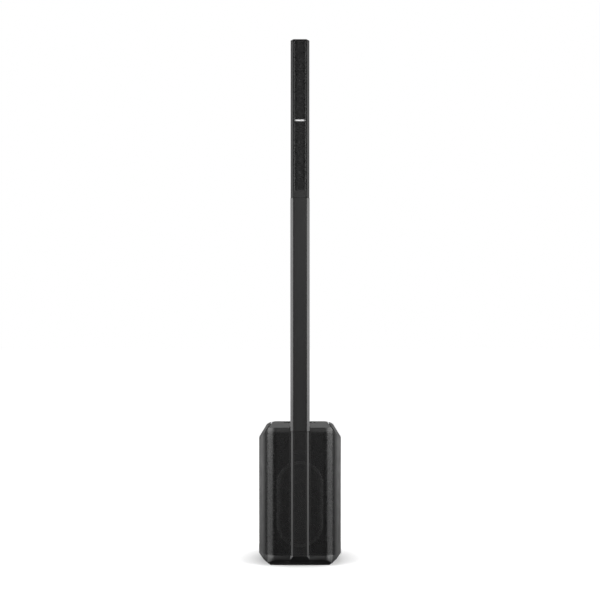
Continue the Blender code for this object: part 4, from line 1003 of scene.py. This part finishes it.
def build_connectors():
    """Metal collars, contacts, latches and screws on the connectors."""
    others = ("xlr_output", "data_port", "usb_port", "power_inlet")
    for node in ("combo_jack_1", "combo_jack_2", "line_jacks", *others):
        finished(node, "connector_plastic", 0.0003, 2)
    flange = FLANGE_Y - PANEL_Y
    gold, steel, latches, heads = [], [], [], []

    def add(parts, shape):
        parts.append(on_panel(shape, x, z))

    for node in XLR_JACKS:
        x, z = middle(node).x, middle(node).z
        add(steel, tube(0.0104, 0.0113, flange - 0.0002, flange + 0.0007))
        for sign in (-1, 1):
            heads.append(facing_back(x + sign * 0.0098, z + sign * 0.0123, FLANGE_Y))
        turns = [math.radians(turn) for turn in (0, 180, 270)]
        if node == "xlr_output":
            pin = [(0, -0.0150), (0.00158, -0.0150), (0.00158, -0.0056), (0.0010, -0.0046), (0, -0.0043)]
            for turn in turns:
                across, up = polar(0.0050, turn)
                gold.append(on_panel(turned(pin, 20), x + across, z + up))
            continue
        latch = plate(0.0034, 0.0015, 0.0006, flange - 0.0002, flange + 0.0012, (0, 0.0133), 0.0003)
        add(latches, latch)
        for turn in turns:
            sleeve = tube(0.0008, 0.0014, -0.0024, -0.0019, 20, 0.0001)
            across, up = polar(0.0068, turn)
            gold.append(on_panel(sleeve, x + across, z + up))
        add(steel, tube(0.0034, 0.0043, -0.0024, -0.0016))
    low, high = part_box("line_jacks")
    x, z = (low.x + high.x) / 2, high.z - 0.0090
    add(steel, tube(0.0034, 0.0058, flange - 0.0002, flange + 0.0012, 6))
    add(steel, tube(0.0034, 0.0046, flange, flange + 0.0018))
    z = high.z - 0.0340
    add(steel, tube(0.0019, 0.0034, flange - 0.0002, flange + 0.0012))
    x, z = middle("data_port").x, middle("data_port").z
    for step in range(8):
        across = (step - 3.5) * 0.00102
        add(gold, box((across - 0.0002, -0.0050, -0.0160), (across + 0.0002, -0.0044, -0.0035)))
    add(steel, outline_box(0.0066, 0.0059, 0.0006, flange + 0.0005))
    x, z = middle("usb_port").x, middle("usb_port").z
    add(steel, outline_box(0.0048, 0.0045, 0.0005, flange + 0.0004))
    add(latches, plate(0.0026, 0.0015, 0.0003, -0.0136, -0.0030, edge=0.0002))
    for step in range(4):
        across = (step % 2 - 0.5) * 0.0024
        up = 0.00152 if step < 2 else -0.00172
        add(gold, box((across - 0.0005, up, -0.0130), (across + 0.0005, up + 0.0002, -0.0036)))
    x, z = middle("power_inlet").x, middle("power_inlet").z
    for across, up in ((-0.0070, -0.0015), (0, 0.0025), (0.0070, -0.0015)):
        blade = plate(0.0021, 0.00108, 0.0003, -0.0196, -0.0050, edge=0.0003)
        turn = Matrix.Rotation(math.pi / 2, 4, "Z")
        steel.append(placed(blade, facing_back(x - across, z + up) @ turn))
    for sign in (-1, 1):
        heads.append(facing_back(x + sign * 0.0205, z, FLANGE_Y))
    piece("connector_contacts", joined(gold), "gold_contact", "base")
    piece("connector_collars", joined(steel), "contact_metal", "base")
    piece("connector_latches", joined(latches), "control_rubber", "base")
    screws("connector_screws", heads, 0.0019)


# ---- Stage, light and camera ----
FLOOR_GREY = 0.70
PAINTED_SHADOW_HALF = (0.15, 0.24)  # about half of the base each way
FLOOR_PAINTED_GLOW = (0.85, 2.60, 0.04, 1.00)  # near and far, in multiples of PAINTED_SHADOW_HALF, and the strength of the painted glow at each
WORLD_FRONT, WORLD_BACK = 0.04, 0.78  # radiance of the studio before and behind the object
WORLD_LOW, WORLD_HIGH = 0.18, 0.17  # the share of that seen below and above the horizon
SIDE_BOX = (2.180, -0.9505)  # the right box's middle in plan: the left one mirrors it
SIDE_FACING = (-0.952, 0.308)
SIDE_WIDTH = 2.734
SIDE_PARTS = (("high", 0.25, 2.75, 5.2), ("low", -0.75, 0.25, 2.6))  # lower end, upper end, radiance
SOFT_BOXES = (  # place, target, width, height, radiance
    ("overhead", (0, 0.3, 3.7), (0, 0, 0.5), 2.4, 2.0, 1.4),
    ("front_top", (0, -7.5, 2.8), (0, 0, 1.6), 2.0, 0.8, 0.9),
    ("front_low", (0, -7.6, -0.15), (0, 0, -0.15), 3.4, 2.1, 0.58),
    ("front_high", (0, -7.6, 2.15), (0, 0, 2.15), 3.4, 2.5, 1.15),
    ("rear_fill", (0.4, 3.4, 3.6), (0, 0, 0.4), 2.6, 1.6, 3.4),
)
CAMERA_DISTANCE, CAMERA_HEIGHT, CAMERA_LENS = 7.0, 1.0103, 110.64


def build_stage():
    """A pale floor with painted light: it glows white away from the object, and its glow fades almost to
    nothing near the object, a painted shadow under the real one the lamps cast.
    """
    bm = bmesh.new()
    bmesh.ops.create_grid(bm, x_segments=1, y_segments=1, size=30)
    look = bpy.data.materials.new("floor_white")
    look.use_nodes = True
    tree = look.node_tree
    shader = tree.nodes["Principled BSDF"]
    shader.inputs["Base Color"].default_value = colour_of(FLOOR_GREY)
    shader.inputs["Roughness"].default_value = 0.9
    shader.inputs["Specular IOR Level"].default_value = 0.0
    shader.inputs["Emission Color"].default_value = (1, 1, 1, 1)
    place = add_node(tree, "TexCoord").outputs["Object"]
    scale = (1 / PAINTED_SHADOW_HALF[0], 1 / PAINTED_SHADOW_HALF[1], 0)
    around = add_node(tree, "Mapping", {"Vector": place, "Scale": scale})
    reach = add_node(tree, "VectorMath")
    reach.operation = "LENGTH"
    tree.links.new(around.outputs["Vector"], reach.inputs[0])
    values = dict(zip(("From Min", "From Max", "To Min", "To Max"), FLOOR_PAINTED_GLOW), Value=reach.outputs["Value"])
    # painted light: the floor glows, faint near the object as a painted shadow and full white away from it
    painted_glow = add_node(tree, "MapRange", values)
    tree.links.new(painted_glow.outputs["Result"], shader.inputs["Emission Strength"])
    floor = add_shape("floor", bm)
    floor.data.materials.append(look)
    floor.visible_diffuse = False
    floor.visible_glossy = False
    floor.visible_shadow = False


def area_light(name, place, target, width, height, radiance):
    """A soft box of a stated radiance, which lights the object and isn't seen itself."""
    data = bpy.data.lights.new(name, "AREA")
    data.shape = "RECTANGLE"
    data.size, data.size_y = width, height
    data.energy = radiance * width * height * math.pi
    obj = add_object(name, data)
    obj.location = place
    obj.rotation_euler = (Vector(target) - Vector(place)).to_track_quat("-Z", "Y").to_euler()
    obj.visible_camera = False


def build_world():
    """White to the camera. To the object: dark in front, paler behind, palest at the horizon."""
    world = bpy.data.worlds.new("studio")
    world.use_nodes = True
    tree = world.node_tree
    tree.nodes.clear()
    place = add_node(tree, "TexCoord").outputs["Generated"]
    split = add_node(tree, "SeparateXYZ", {"Vector": place})
    depth = add_node(tree, "MapRange", {"Value": split.outputs["Y"], "From Min": -1, "From Max": 1})
    ramp = add_node(tree, "ValToRGB", {"Fac": depth.outputs["Result"]})
    set_stops(ramp, ((0.45, colour_of(WORLD_FRONT)), (0.85, colour_of(WORLD_BACK))))
    rise = add_node(tree, "MapRange", {"Value": split.outputs["Z"], "From Min": -0.2, "From Max": 0.2})
    band = add_node(tree, "ValToRGB", {"Fac": rise.outputs["Result"]})
    white, low, high = colour_of(1), colour_of(WORLD_LOW), colour_of(WORLD_HIGH)
    set_stops(band, ((0.12, low), (0.36, white), (0.47, white), (0.65, high)))
    values = {"Color": ramp.outputs["Color"], "Strength": band.outputs["Color"]}
    lighting = add_node(tree, "Background", values)
    backdrop = add_node(tree, "Background", {"Color": white})
    either = add_node(tree, "MixShader", {"Fac": add_node(tree, "LightPath").outputs["Is Camera Ray"]})
    tree.links.new(lighting.outputs["Background"], either.inputs[1])
    tree.links.new(backdrop.outputs["Background"], either.inputs[2])
    tree.links.new(either.outputs["Shader"], add_node(tree, "OutputWorld").inputs["Surface"])
    bpy.context.scene.world = world


def build_light():
    build_world()
    for name, side in (("left", -1), ("right", 1)):
        for part, low, high, radiance in SIDE_PARTS:
            centre = Vector((side * SIDE_BOX[0], SIDE_BOX[1], (low + high) / 2))
            target = centre + Vector((side * SIDE_FACING[0], SIDE_FACING[1], 0))
            area_light(f"side_{name}_{part}", centre, target, SIDE_WIDTH, high - low, radiance)
    for soft_box in SOFT_BOXES:
        area_light(*soft_box)
    bpy.context.scene.view_settings.view_transform = "Standard"


def build_camera():
    data = bpy.data.cameras.new("camera")
    data.lens = CAMERA_LENS
    data.clip_end = 100
    camera = add_object("camera", data)
    camera.location = (0, FRONT - CAMERA_DISTANCE, CAMERA_HEIGHT)
    camera.rotation_euler = (math.pi / 2, 0, 0)
    bpy.context.scene.camera = camera


build_camera()
build_light()
build_stage()
build_shells()
build_gaskets()
build_shade_skirt()
build_feet()
build_base_grille()
build_woofer()
build_array_grille()
build_array_baffle()
build_array_plug()
build_badge()
build_drivers()
build_contacts()
build_panels()
build_lights()
build_knobs()
build_buttons()
build_connectors()
